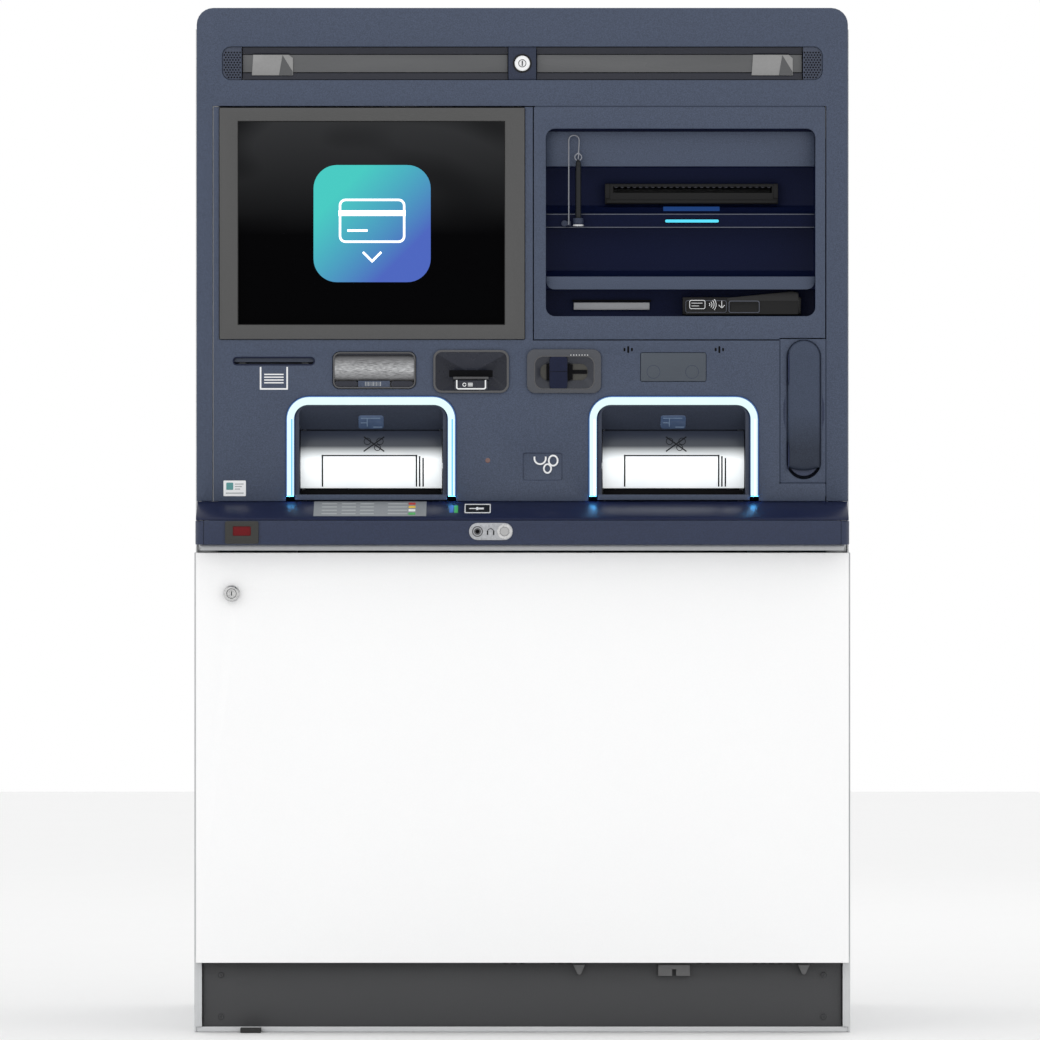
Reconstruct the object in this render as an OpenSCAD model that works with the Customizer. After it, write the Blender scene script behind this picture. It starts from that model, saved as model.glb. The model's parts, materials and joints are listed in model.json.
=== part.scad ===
// Free-standing recycling cash machine with a swing-out fascia over a safe.
// X is the width, Y the depth with the customer at -Y, Z the height.
// The origin is on the floor, under the middle of the machine.

/* [Cabinet] */
// Width of the fascia
fascia_w = 934; // [934:1:1200]
// How far each cabinet side stands out past the fascia
side_reveal = 3; // [2:0.5:12]
// Depth from the fascia's front plane to the rear panel
cabinet_d = 825; // [660:1:1200]
// Reach of the shelf and bumper in front of the fascia
shelf_reach = 75; // [60:1:110]
// Height of the plinth
plinth_h = 100; // [80:1:160]
// Height of the lower door
door_h = 587; // [560:1:800]
// Thickness of the cabinet's side, top and rear sheets
sheet_t = 3; // [2:0.5:5]
// Thickness of the base plate
base_t = 7.5; // [6:0.5:15]

/* [Anchors] */
// Hole-to-hole distance across the machine
anchor_x = 560; // [400:1:600]
// Hole-to-hole distance along the depth
anchor_y = 570; // [450:1:580]
// Radius of each floor anchor hole
anchor_r = 9; // [6:0.5:12]
// Radius of the mains and network cable inlet
inlet_r = 25; // [15:0.5:40]

/* [Safe] */
// Gap between each side of the safe and the fascia's edge line
safe_inset = 47; // [45:1:120]
// Wall thickness of the safe
safe_wall = 25; // [15:1:40]
// Thickness of the safe door's plate
safe_plate_t = 23; // [15:1:30]
// Radius of each live bolt
bolt_r = 10; // [6:0.5:14]
// Travel of the live bolts
bolt_travel = 22; // [15:1:24]

/* [Lower door] */
// How far the lower door stands in front of the fascia plane
door_proud = 37; // [30:1:55]
// Depth of the lower door's pan
door_pan = 20; // [18:1:30]
// Largest opening of the lower door and the safe door, degrees
door_swing = 100; // [60:1:100]

/* [Fascia] */
// Height of the fascia from its lower edge to its top
fascia_h = 779; // [779:1:900]
// Thickness of the fascia mouldings
shell_t = 6; // [4:0.5:8]
// Radius of the fascia's top corners
corner_r = 24; // [5:1:60]
// Width of the seams between the fascia's mouldings
seam = 1.4; // [0.8:0.2:3]
// Width of the left side strip
strip_left = 23.5; // [18:0.5:40]
// Width of the right side strip
strip_right = 31.8; // [18:0.5:40]

/* [Screen] */
// Width of the screen's frame
screen_frame_w = 437.5; // [360:1:450]
// Height of the screen's frame
screen_frame_h = 333.5; // [280:1:333]
// Width of the frame's face at the left and right
screen_rim = 26; // [10:1:40]

/* [Cash units] */
// Distance from the machine's middle to each cash opening's middle
cash_x = 217; // [150:1:230]
// Width of each cash opening
cash_w = 206; // [170:1:216]
// Width of the light band's face
band_w = 12; // [6:0.5:12]
// Radius of the curved shutter
shutter_r = 75; // [60:1:78]
// Opening turn of each shutter, degrees
shutter_turn = 65; // [30:1:68]

/* [Readers and handset] */
// Width of the card reader's mouth piece
card_w = 108.4; // [90:0.2:120]
// Width of the dip reader's mouth piece
dip_w = 106.5; // [90:0.2:120]
// Width of the code scanner module
code_w = 118.5; // [90:0.2:125]
// Width of the handset
handset_w = 45.6; // [36:0.2:55]
// Length of the handset
handset_l = 182; // [150:1:184]
// Diameter of the pen
pen_d = 8.5; // [6:0.5:9]
// Length of the pen
pen_l = 88.6; // [70:0.2:92]

/* [Clearances] */
// Radial clearance of a pin turning in its bore
pin_gap = 0.05; // [0.02:0.01:0.1]
// Gap around a piece that drops into an opening
fit_gap = 0.6; // [0.3:0.1:1.5]
// Working gap between panels that swing past each other
swing_gap = 2; // [1.5:0.5:5]

/* [Hidden] */
$fn = 48;
depth_all = shelf_reach + cabinet_d;
trim_t = 3;
y_nose = -depth_all / 2;
y_bumper = y_nose + trim_t;
y_face = y_nose + shelf_reach;
y_back = y_face + shell_t;
y_rear = depth_all / 2;
y_door = y_face - door_proud;
half = fascia_w / 2;
side = half + side_reveal;
inner = side - sheet_t;
z_door = plinth_h;
z_door_top = z_door + door_h;
z_f = z_door_top + swing_gap;
z_top = z_f + fascia_h;
cabinet_top = z_top - 28;

// Hinge lines, as [x, y]
fascia_hinge = [-half + 5, y_face + 45];
door_hinge = [half - 6, y_door + 15];
safe_hinge = [half - 42, y_face + 25];
side_front_up = fascia_hinge[1] + 10;
side_front_low = y_door + 26;

// Fascia layout: heights above the fascia's lower edge
shelf_back = 71.6;
shelf_front = 47.6;
bumper_low = 9.4;
z_shelf = z_f + shelf_back;
z_band = z_f + 222.3;
z_row = z_f + 257;
z_seam = z_f + 302.8;
z_head = z_f + 638.3;
x_left = -half + strip_left;
x_right = half - strip_right;
x_seam = x_left + screen_frame_w + 21.8;

// Frame of the fascia
frame_d = 24;
frame_bar = 24;
y_frame = y_back + frame_d;

// Header light
head_w = 2 * (half - 36.4);
head_z = [z_head + 37.3, z_head + 85.2];
head_mid = (head_z[0] + head_z[1]) / 2;
grille_w = 28;
lock_block_w = 40;
lock_r = 11;

// Screen
screen_x = x_left + 9.3;
screen_z = z_seam + 1;
screen_rim_z = 20.5;

// Alcove
alcove_x = [x_seam + 18, x_right - 15];
alcove_z = [z_seam + 34.1, z_seam + 303.1];
alcove_r = 13;
alcove_back = y_face + 75;
brow_low = alcove_z[1] - 52.9;
brow_y = y_back + 12;
rib_z = [z_seam + 162.2, z_seam + 181.2];
rib_y = y_face + 23;
bar_z = [z_seam + 73.2, z_seam + 91.2];
bar_y = y_face + 12;
floor_y = y_face + 48;
liner_t = 3;
slip_w = 249.5;
slip_x = alcove_x[1] - 51.8 - slip_w;
slip_z = [z_seam + 196.7, z_seam + 226.2];

// Pen and tether
pen_x = alcove_x[0] + 46.5;
pen_y = rib_y - 10;
pen_z = rib_z[0] + 8;
tether_d = 2;
tether_foot = [alcove_x[0] + 32.9, pen_y, rib_z[0] + 5.5];
tether_high = alcove_z[1] - 9;

// Row of readers, measured from the fascia's side edges
receipt_x = [-half + 52.4, -half + 168.9];
receipt_z = [z_row + 10, z_row + 21];
code_x = -half + 195.5;
code_z = [z_row - 23.8, z_row + 28.4];
card_x = -half + 339.4;
card_z = [z_row - 30.1, z_row + 31.5];
dip_x = half - 460.4;
dip_z = [z_row - 30.7, z_row + 32.5];
blank_x = [half - 300.7, half - 200.1];
blank_z = [z_row - 17, z_row + 30.8];
mouth_proud = 3;

// Cash units
cash_z = [z_shelf + 1.4, z_shelf + 137.8];
band_out = cash_w / 2 + 6.9 + band_w;
band_in = band_out - band_w;
band_r = 33;
throat_out = band_in - fit_gap;
throat_depth = 170;
shutter_axis = [y_face + 90, cash_z[0] + 50];
shutter_low = -26;
shutter_high = 42;
shutter_t = 3;
hood_r = shutter_r + 1.5;
stub_r = 4;
coin_x = [0.9, 57.2];
coin_z = [z_shelf + 29.8, z_shelf + 69.2];

// Handset
hs_mid = x_right - 31.5;
hs_top = z_seam - 0.8;
hs_low = hs_top - handset_l;
recess_low = hs_low - 17;
recess_half = handset_w / 2 + 1.6;
hs_panel_x = x_right - 65.7;
hs_panel_z = [recess_low - 4.7, z_seam + 1.4];

// Bumper trim
audio_x = [-76.1, -13.5];
audio_z = [z_f + 15.9, z_f + 40.5];
button_x = -25.4;
button_r = 6.2;

// Safe
safe_x = half - safe_inset;
safe_front = y_face + 45;
safe_rear = y_rear - 50;
safe_low = plinth_h;
safe_high = z_door_top - 7;
safe_in = safe_x - safe_wall;
plug_t = 14;
plug_gap = 7;
rail_w = 80;
access_half = 17;
bolt_rows = [0.22, 0.5, 0.78];
handle_at = [-safe_x + 130, safe_low + (safe_high - safe_low) * 0.45];

// Inner units
deck_z = z_seam + 18;
head_front = y_face + 195;
head_d = 430;
head_half = 105;
computer_x = [-330, -60];
computer_d = 370;
computer_h = 147;
supply_x = [90, 250];
supply_d = 280;
supply_h = 117;

// Guides below the lower door
tongue_x = [81.5, half - 63.5];
tongue_tip = plinth_h - 17.6;
bracket_x = [194.6, 240.3];
bracket_low = plinth_h - 19.6;
foot_x = [-half + 63.5, -half + 93];

// Lower door's lock
door_lock_at = [-half + 51.4, z_door_top - 58.5];
door_lock_r = 9;

// Handle and electronic lock of the safe door
handle_r = 8;
knob_r = 20;
lever_l = 95;
keypad_r = 32;
keypad_rise = 110;

function arc(cx, cy, r, from, to, n = 6) =
    [for (i = [0:n]) [cx + r * cos(from + (to - from) * i / n), cy + r * sin(from + (to - from) * i / n)]];
function round_box(x0, z0, x1, z1, r) = concat(
    arc(x1 - r, z1 - r, r, 0, 90),
    arc(x0 + r, z1 - r, r, 90, 180),
    arc(x0 + r, z0 + r, r, 180, 270),
    arc(x1 - r, z0 + r, r, 270, 360));
function round_top(x0, z0, x1, z1, r) = concat(
    [[x0, z0], [x1, z0]],
    arc(x1 - r, z1 - r, r, 0, 90),
    arc(x0 + r, z1 - r, r, 90, 180));

// A box between two corners given axis by axis
module block(x, y, z) {
    translate([x[0], y[0], z[0]])
        cube([x[1] - x[0], y[1] - y[0], z[1] - z[0]]);
}

// An outline in X and Z, made solid from depth y0 to depth y1
module slab(y0, y1) {
    translate([0, y1, 0])
        rotate([90, 0, 0])
            linear_extrude(y1 - y0)
                children();
}

// An outline in Y and Z, made solid from x0 to x1
module along_x(x0, x1) {
    translate([x0, 0, 0])
        rotate([90, 0, 90])
            linear_extrude(x1 - x0)
                children();
}

module upright(at, r, z0, z1) {
    translate([at[0], at[1], z0])
        cylinder(r = r, h = z1 - z0);
}

// A round bar along Y from depth y0 to depth y1
module round_y(x, z, r, y0, y1) {
    translate([x, y1, z])
        rotate([90, 0, 0])
            cylinder(r = r, h = y1 - y0);
}

// A round bar along X
module round_x(y, z, r, x0, x1) {
    translate([x0, y, z])
        rotate([0, 90, 0])
            cylinder(r = r, h = x1 - x0);
}

// ---- Cabinet ----

module base_plate() color("lightgray") difference() {
    block([-inner, inner], [y_door + 28, y_rear - sheet_t], [0, base_t]);
    for (sx = [-1, 1], sy = [-1, 1])
        upright([sx * anchor_x / 2, sy * anchor_y / 2], anchor_r, -1, base_t + 1);
}

module foot_block() color("black")
    block(foot_x, [y_door + 4, y_door + 27.6], [0, base_t - 1]);

module plinth() {
    t = 4;
    reach = inner - 9;
    color("dimgray") difference() {
        block([-reach, reach], [y_door + 32, y_rear - sheet_t - 12], [base_t, plinth_h - 0.4]);
        block([-reach + t, reach - t], [y_door + 32 + t, y_rear - sheet_t - 12 - t],
              [base_t - 1, plinth_h + 1]);
    }
}

module side_panel(s) color("gainsboro") union() {
    mirror([s < 0 ? 1 : 0, 0, 0]) {
        along_x(inner, side) polygon([
            [side_front_low, 0], [y_rear, 0], [y_rear, cabinet_top], [side_front_up, cabinet_top],
            [side_front_up, z_door_top], [side_front_low, z_door_top]]);
        block([inner - 8, inner], [side_front_low, side_front_low + sheet_t - 1], [base_t, plinth_h]);
    }
}
module left_side_panel() side_panel(-1);
module right_side_panel() side_panel(1);

module top_panel() color("gainsboro")
    block([-inner, inner], [side_front_up, y_rear], [cabinet_top - sheet_t, cabinet_top]);

module rear_panel() {
    slot_w = 120;
    slot_pitch = 14;
    color("gainsboro") difference() {
        block([-inner, inner], [y_rear - sheet_t, y_rear], [0, cabinet_top - sheet_t]);
        for (bank = [-1, 1], i = [0:9])
            block([bank * 200 - slot_w / 2, bank * 200 + slot_w / 2], [y_rear - sheet_t - 1, y_rear + 1],
                  [cabinet_top - 190 + i * slot_pitch, cabinet_top - 184 + i * slot_pitch]);
        round_y(half - 120, plinth_h + 640, inlet_r, y_rear - sheet_t - 1, y_rear + 1);
    }
}

post_w = 30;
post_y = [side_front_up + 2, side_front_up + 2 + post_w];
post_rear = [y_rear - sheet_t - post_w, y_rear - sheet_t];
module upper_frame() color("silver") union() {
    for (s = [-1, 1], y = [post_y, post_rear])
        block(s < 0 ? [-inner, -inner + post_w] : [inner - post_w, inner], y,
              [safe_high, cabinet_top - sheet_t]);
    for (s = [-1, 1])
        block(s < 0 ? [-inner, -inner + post_w] : [inner - post_w, inner], [post_y[0], post_rear[1]],
              [cabinet_top - sheet_t - post_w, cabinet_top - sheet_t]);
    for (y = [post_y, post_rear])
        block([-inner, inner], y, [cabinet_top - sheet_t - post_w, cabinet_top - sheet_t]);
    for (s = [-1, 1])
        block(s < 0 ? [-inner, -safe_x + 20] : [safe_x - 20, inner], [post_y[0], post_rear[1]],
              [safe_high, safe_high + 4]);
}

module equipment_deck() color("silver") union() {
    front = y_face + 225;
    block([-inner + post_w, inner - post_w], [front, y_rear - sheet_t], [deck_z, deck_z + 3]);
    for (s = [-1, 1])
        block(s < 0 ? [-inner, -inner + post_w] : [inner - post_w, inner], [front, post_rear[0]],
              [deck_z - 27, deck_z + 3]);
}

// ---- Safe ----

module safe_body() color("slategray") difference() {
    union() {
        block([-safe_x, safe_x], [safe_front, safe_rear], [safe_low, safe_high]);
        for (s = [-1, 1])
            block(s < 0 ? [-safe_x, -safe_x + rail_w] : [safe_x - rail_w, safe_x],
                  [safe_front + 40, safe_rear - 60], [base_t, safe_low]);
    }
    block([-safe_in, safe_in], [safe_front - 1, safe_rear - safe_wall],
          [safe_low + safe_wall, safe_high - safe_wall]);
    // Note slots through the roof, one under each note head
    for (s = [-1, 1])
        block([s * cash_x - 60, s * cash_x + 60], [safe_front + 220, safe_front + 270],
              [safe_high - safe_wall - 1, safe_high + 1]);
    // Access openings over the floor anchors
    for (sx = [-1, 1], sy = [-1, 1])
        block([sx * anchor_x / 2 - access_half, sx * anchor_x / 2 + access_half],
              [sy * anchor_y / 2 - access_half, sy * anchor_y / 2 + access_half],
              [safe_low - 1, safe_low + safe_wall + 1]);
    // Pockets that take the live bolts
    for (f = bolt_rows) {
        z = safe_low + f * (safe_high - safe_low);
        block([-safe_x + 3, -safe_in + 1],
              [safe_front + plug_t + 9 - bolt_r, safe_front + plug_t + 11 + bolt_r],
              [z - bolt_r - 1, z + bolt_r + 1]);
    }
}

knuckle_r = 9;
module safe_hinges() color("silver")
    for (z = [safe_low + 90, safe_high - 120]) union() {
        block([safe_hinge[0] - 15, safe_hinge[0] + 7], [safe_hinge[1], safe_front], [z, z + 30]);
        upright(safe_hinge, knuckle_r, z, z + 30);
        upright(safe_hinge, 5, z + 29, z + 58);
    }

module safe_door() color("lightslategray") difference() {
    edge = safe_hinge[0] - 21;
    union() {
        block([-safe_x + 5, edge], [safe_front - 2 - safe_plate_t, safe_front - 2],
              [safe_low + 5, safe_high - 5]);
        block([-safe_in + plug_gap, safe_in - plug_gap], [safe_front - 3, safe_front - 2 + plug_t],
              [safe_low + safe_wall + plug_gap, safe_high - safe_wall - plug_gap]);
        for (z = [safe_low + 121, safe_high - 89]) {
            block([edge - 5, safe_hinge[0]], [safe_front - 2 - safe_plate_t, safe_hinge[1]], [z, z + 26]);
            upright(safe_hinge, knuckle_r, z, z + 26);
        }
        // Electronic lock's keypad housing
        round_y(handle_at[0], handle_at[1] + keypad_rise, keypad_r, safe_front - 2 - safe_plate_t - 10,
                safe_front - safe_plate_t);
        // Guide blocks for the live bolts
        for (f = bolt_rows)
            block([-safe_in + 60, -safe_in + 76], [safe_front - 3 + plug_t, safe_front + plug_t + 24],
                  [safe_low + f * (safe_high - safe_low) - 18, safe_low + f * (safe_high - safe_low) + 18]);
    }
    for (z = [safe_low + 121, safe_high - 89])
        upright(safe_hinge, 5 + pin_gap, z - 1, z + 27);
    for (f = bolt_rows)
        round_x(safe_front + plug_t + 10, safe_low + f * (safe_high - safe_low), bolt_r + pin_gap,
                -safe_in + 59, -safe_in + 77);
    round_y(handle_at[0], handle_at[1], handle_r + pin_gap, safe_front - 3 - safe_plate_t,
            safe_front + plug_t);
}

module safe_handle() color("silver") union() {
    y = safe_front - 2 - safe_plate_t;
    round_y(handle_at[0], handle_at[1], handle_r, y - 10, safe_front + plug_t - 4);
    round_y(handle_at[0], handle_at[1], knob_r, y - 22, y - 0.5);
    block([handle_at[0] - 9, handle_at[0] + 9], [y - 20, y - 8], [handle_at[1] - lever_l, handle_at[1]]);
}

module safe_bolts() color("silver") union() {
    tip = -safe_in + 5;
    bar_x = [tip + 100, tip + 120];
    bar_y = [safe_front + plug_t + 1, safe_front + plug_t + 19];
    for (f = bolt_rows)
        round_x(safe_front + plug_t + 10, safe_low + f * (safe_high - safe_low), bolt_r, tip, bar_x[0] + 4);
    block([bar_x[0], bar_x[1]], bar_y, [safe_low + 100, safe_high - 100]);
}

cassette_w = 130;
cassette_gap = 12;
cassette_front = safe_front + 70;
module cassettes() color("darkslategray")
    for (i = [0:3]) union() {
        x = (i - 1.5) * (cassette_w + cassette_gap);
        low = safe_low + safe_wall;
        difference() {
            block([x - cassette_w / 2, x + cassette_w / 2], [cassette_front, cassette_front + 420],
                  [low, low + 280]);
            block([x - 38, x + 38], [cassette_front - 1, cassette_front + 26], [low + 170, low + 225]);
        }
        block([x - 38, x + 38], [cassette_front + 4, cassette_front + 14], [low + 190, low + 204]);
    }

// ---- Inner units of the upper cabinet ----

module note_head(s) color("gray") union() {
    foot = 20;
    block([s * cash_x - head_half, s * cash_x + head_half], [head_front, head_front + head_d],
          [safe_high + foot, deck_z - 60]);
    // Mouth behind the throat
    block([s * cash_x - head_half + 7, s * cash_x + head_half - 7], [head_front - 12, head_front + 1],
          [cash_z[0] + 12, cash_z[0] + 78]);
    // Slide rails
    block([s * cash_x - head_half - 5, s * cash_x + head_half + 5],
          [head_front + foot, head_front + head_d - 10], [safe_high, safe_high + foot]);
}
module left_note_head() note_head(-1);
module right_note_head() note_head(1);

module computer() color("darkgray") difference() {
    front = y_face + 330;
    block(computer_x, [front, front + computer_d], [deck_z + 3, deck_z + 3 + computer_h]);
    // Air slots
    for (i = [0:7])
        block([computer_x[0] + 20 + i * 30, computer_x[0] + 34 + i * 30], [front - 1, front + 4],
              [deck_z + 40, deck_z + 110]);
}

module power_supply() color("silver") difference() {
    front = y_face + 400;
    block(supply_x, [front, front + supply_d], [deck_z + 3, deck_z + 3 + supply_h]);
    // Fan's recess
    round_y((supply_x[0] + supply_x[1]) / 2, deck_z + 62, 38, front - 1, front + 6);
}

// ---- Lower door ----

module lower_door_hinges() color("silver")
    for (z = [z_door + 24, z_door_top - 60]) union() {
        block([inner - 27, inner], [side_front_low + 1, side_front_low + 26], [z, z + 4]);
        block([door_hinge[0] - 8, door_hinge[0] + 2], [door_hinge[1] - 4, side_front_low + 2], [z, z + 4]);
        upright(door_hinge, 4, z + 3.5, z + 30);
    }

block_z = [z_door + 29, z_door_top - 55];
module lower_door() color("white") difference() {
    wall = 3;
    wide = half;
    union() {
        block([-wide, wide], [y_door, y_door + wall], [z_door + 0.2, z_door_top - 0.2]);
        block([-wide, -wide + wall], [y_door + 1, y_door + door_pan], [z_door + 0.2, z_door_top - 0.2]);
        block([wide - wall, wide], [y_door + 1, y_door + 9], [z_door + 0.2, z_door_top - 0.2]);
        for (z = [z_door + 0.2, z_door_top - 0.2 - wall])
            block([-wide, wide - 6], [y_door + 1, y_door + door_pan], [z, z + wall]);
        for (z = block_z)
            block([door_hinge[0] - 9, door_hinge[0] + 3.5], [y_door + 1, door_hinge[1] + 5], [z, z + 24]);
        // Stiffener
        block([-wide + 120, -wide + 150], [y_door + 1, y_door + 12], [z_door + 1, z_door_top - 1]);
        block([wide - 150, wide - 120], [y_door + 1, y_door + 12], [z_door + 1, z_door_top - 1]);
    }
    for (z = block_z)
        upright(door_hinge, 4 + pin_gap, z - 1, z + 25);
    round_y(door_lock_at[0], door_lock_at[1], door_lock_r + pin_gap, y_door - 1, y_door + wall + 1);
}

module lower_door_lock() color("gainsboro") union() {
    x = door_lock_at[0];
    z = door_lock_at[1];
    round_y(x, z, door_lock_r + 2.8, y_door - 12, y_door - 0.3);
    round_y(x, z, door_lock_r, y_door - 1, y_door + 12);
    block([x - 7, x + 7], [y_door + 11, y_door + 14], [z - 28, z + 7]);
}

module door_catches() color("gray") union() {
    // Two centring tongues and a stop bracket below the lower door
    top = plinth_h - 3.4;
    tip_r = 3.6;
    notch_x = [bracket_x[0] + 20, bracket_x[1] - 20.1];
    for (x = tongue_x)
        slab(y_door + 22, y_door + 32) polygon(concat(
            [[x - 8.5, top], [x - 7.2, top - 3]], arc(x, tongue_tip + tip_r, tip_r, 190, 350),
            [[x + 7.2, top - 3], [x + 8.5, top]]));
    slab(y_door + 22, y_door + 32) polygon([
        [bracket_x[0], bracket_low], [notch_x[0], bracket_low], [notch_x[0], bracket_low + 9.6],
        [notch_x[1], bracket_low + 9.6], [notch_x[1], bracket_low], [bracket_x[1], bracket_low],
        [bracket_x[1], top], [bracket_x[0], top]]);
}

// ---- Fascia: structure ----

hinge_rows = [z_f + 120, z_f + 400, z_f + 700];
module fascia_hinges() color("silver")
    for (z = hinge_rows) union() {
        block([fascia_hinge[0] - 4, fascia_hinge[0] + 6], [fascia_hinge[1], post_y[0]], [z, z + 20]);
        upright(fascia_hinge, 5, z, z + 20);
        upright(fascia_hinge, 3, z + 19, z + 42);
    }

module fascia_frame() color("silver") difference() {
    x0 = -half + 7;
    x1 = half - 7;
    union() {
        for (x = [x0, x1 - frame_bar])
            block([x, x + frame_bar], [y_back, y_frame], [z_f + 1, z_top - 14]);
        block([x0, x1], [y_back, y_frame], [z_top - 14 - frame_bar, z_top - 14]);
        block([x0, x1], [y_back, y_frame], [z_head + 6, z_head + 30]);
        block([x0, x1], [y_back, y_frame], [z_shelf - 34, z_shelf - 10]);
        block([x0, x1], [y_bumper + 22, y_frame], [z_f + 1, z_f + bumper_low]);
        for (z = hinge_rows) {
            block([fascia_hinge[0] - 1.5, x0 + 4], [y_frame - 1, fascia_hinge[1]], [z + 20.5, z + 40]);
            upright(fascia_hinge, 5, z + 20.5, z + 40);
        }
    }
    for (z = hinge_rows)
        upright(fascia_hinge, 3 + pin_gap, z + 19, z + 43);
}

function header_outline(cut) = concat(
    [[-half + cut, z_shelf]],
    [[-half + cut, z_top - corner_r]],
    arc(-half + corner_r, z_top - corner_r, corner_r - cut, 180, 90),
    arc(half - corner_r, z_top - corner_r, corner_r - cut, 90, 0),
    [[half - cut, z_shelf]]);

module fascia_header() color("slategray") union() {
    difference() {
        slab(y_face, y_back) polygon(header_outline(0));
        slab(y_face - 1, y_back + 1) polygon([
            [x_left - seam / 2, z_shelf - 1], [x_right + seam / 2, z_shelf - 1],
            [x_right + seam / 2, z_head], [x_left - seam / 2, z_head]]);
        slab(y_face - 1, y_back + 1)
            polygon(round_box(-head_w / 2, head_z[0], head_w / 2, head_z[1], 13));
    }
    // Return that wraps round the sides and top
    difference() {
        slab(y_back - 1, fascia_hinge[1] - 6) polygon(header_outline(0));
        slab(y_back - 2, fascia_hinge[1] - 5) polygon(concat(
            [[-half + sheet_t, z_shelf - 1]], [for (p = header_outline(sheet_t)) p],
            [[half - sheet_t, z_shelf - 1]]));
    }
}

module cash_cut(s)
    polygon(round_top(s * cash_x - band_out - fit_gap / 2, z_shelf - 1, s * cash_x + band_out + fit_gap / 2,
                      z_band + fit_gap / 2, band_r));

module main_panel() color("slategray") difference() {
    slab(y_face, y_back) polygon([
        [x_left + seam / 2, z_shelf], [x_right - seam / 2, z_shelf],
        [x_right - seam / 2, hs_panel_z[0] - seam],
        [hs_panel_x - seam / 2, hs_panel_z[0] - seam], [hs_panel_x - seam / 2, z_seam - seam / 2],
        [x_seam - seam / 2, z_seam - seam / 2], [x_seam - seam / 2, z_head - seam],
        [x_left + seam / 2, z_head - seam]]);
    slab(y_face - 1, y_back + 1) {
        polygon(round_box(screen_x - fit_gap, screen_z - fit_gap, screen_x + screen_frame_w + fit_gap,
                          screen_z + screen_frame_h - 1, 2));
        for (s = [-1, 1])
            cash_cut(s);
        polygon(round_box(receipt_x[0], receipt_z[0], receipt_x[1], receipt_z[1], 5.4));
        polygon(round_box(code_x - fit_gap, code_z[0] - fit_gap, code_x + code_w + fit_gap,
                          code_z[1] + fit_gap, 10));
        polygon(round_box(card_x + 3, card_z[0] + 3, card_x + card_w - 3, card_z[1] - 3, 9));
        polygon(round_box(dip_x + 3, dip_z[0] + 3, dip_x + dip_w - 3, dip_z[1] - 3, 9));
        polygon(round_box(blank_x[0] + 3, blank_z[0] + 3, blank_x[1] - 3, blank_z[1] - 3, 3));
    }
    slab(y_face - 1, y_face + 2)
        polygon(round_box(coin_x[0], coin_z[0], coin_x[1], coin_z[1], 3));
}

module alcove_panel() color("slategray") difference() {
    slab(y_face, y_back) polygon([
        [x_seam + seam / 2, z_seam + seam / 2], [hs_panel_x - seam / 2, z_seam + seam / 2],
        [hs_panel_x - seam / 2, hs_panel_z[1] + seam], [x_right - seam / 2, hs_panel_z[1] + seam],
        [x_right - seam / 2, z_head - seam], [x_seam + seam / 2, z_head - seam]]);
    slab(y_face - 1, y_back + 1)
        polygon(round_box(alcove_x[0], alcove_z[0], alcove_x[1], alcove_z[1], alcove_r));
}

function recess_outline(grow) = concat(
    arc(hs_mid, hs_top + 1 - recess_half, recess_half + grow, 0, 180, 16),
    arc(hs_mid, recess_low + recess_half, recess_half + grow, 180, 360, 16));

module handset_panel() color("slategray") difference() {
    slab(y_face, y_back)
        polygon([[hs_panel_x + seam / 2, hs_panel_z[0]], [x_right - seam / 2, hs_panel_z[0]],
                 [x_right - seam / 2, hs_panel_z[1]], [hs_panel_x + seam / 2, hs_panel_z[1]]]);
    slab(y_face - 1, y_back + 1)
        polygon(recess_outline(0));
}

module shelf() color("midnightblue")
    along_x(-half + 1, half - 1) polygon([
        [y_back, z_shelf - 0.4], [y_face, z_shelf - 0.4], [y_bumper + 8, z_f + shelf_front + 2],
        [y_bumper + 2, z_f + shelf_front - 3], [y_bumper + 8, z_f + shelf_front - 3.4],
        [y_back, z_shelf - 6]]);

function bumper_outline(cut) = concat(
    [[half - cut, y_back], [-half + cut, y_back]],
    arc(-half + 18, y_bumper + 18, 18 - cut, 180, 270),
    arc(half - 18, y_bumper + 18, 18 - cut, 270, 360));
module bumper() color("slategray") union() {
    low = z_f + bumper_low;
    difference() {
        translate([0, 0, low])
            linear_extrude(shelf_front - 3.6 - bumper_low)
                polygon(bumper_outline(0));
        translate([0, 0, low + 4])
            linear_extrude(shelf_front)
                polygon(concat([[half - 4, y_back + 1], [-half + 4, y_back + 1]],
                               [for (p = bumper_outline(4)) p]));
        round_y(button_x, (audio_z[0] + audio_z[1]) / 2, button_r + 1, y_bumper - 1, y_bumper + 5);
    }
}

// ---- Header ----

module header_light() color("dimgray") difference() {
    x = head_w / 2 - grille_w;
    along_x(-x + 0.5, x - 0.5) polygon([
        [y_back, head_z[0]], [y_back + 22, head_z[0] + 8], [y_back + 22, head_z[1] - 8],
        [y_back, head_z[1]], [y_back, head_z[1] + 3], [y_back + 25, head_z[1] + 3],
        [y_back + 25, head_z[0] - 3], [y_back, head_z[0] - 3]]);
    block([-lock_block_w / 2 - 0.5, lock_block_w / 2 + 0.5], [y_back - 1, y_back + 26],
          [head_z[0] - 4, head_z[1] + 4]);
}

module speaker_grilles() color("dimgray")
    for (s = [-1, 1])
        mirror([s < 0 ? 1 : 0, 0, 0])
            slab(y_back - 4, y_back) polygon(concat(
                [[head_w / 2 - grille_w, head_z[1] - 0.4], [head_w / 2 - grille_w, head_z[0] + 0.4]],
                arc(head_w / 2 - 13, head_z[0] + 13, 12.6, 270, 360),
                arc(head_w / 2 - 13, head_z[1] - 13, 12.6, 0, 90)));

module lock_block() color("slategray") difference() {
    block([-lock_block_w / 2, lock_block_w / 2], [y_face + 2, y_back + 24],
          [head_z[0] + 0.4, head_z[1] - 0.4]);
    round_y(0, head_mid, lock_r + pin_gap, y_face + 1, y_back + 25);
}

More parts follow.
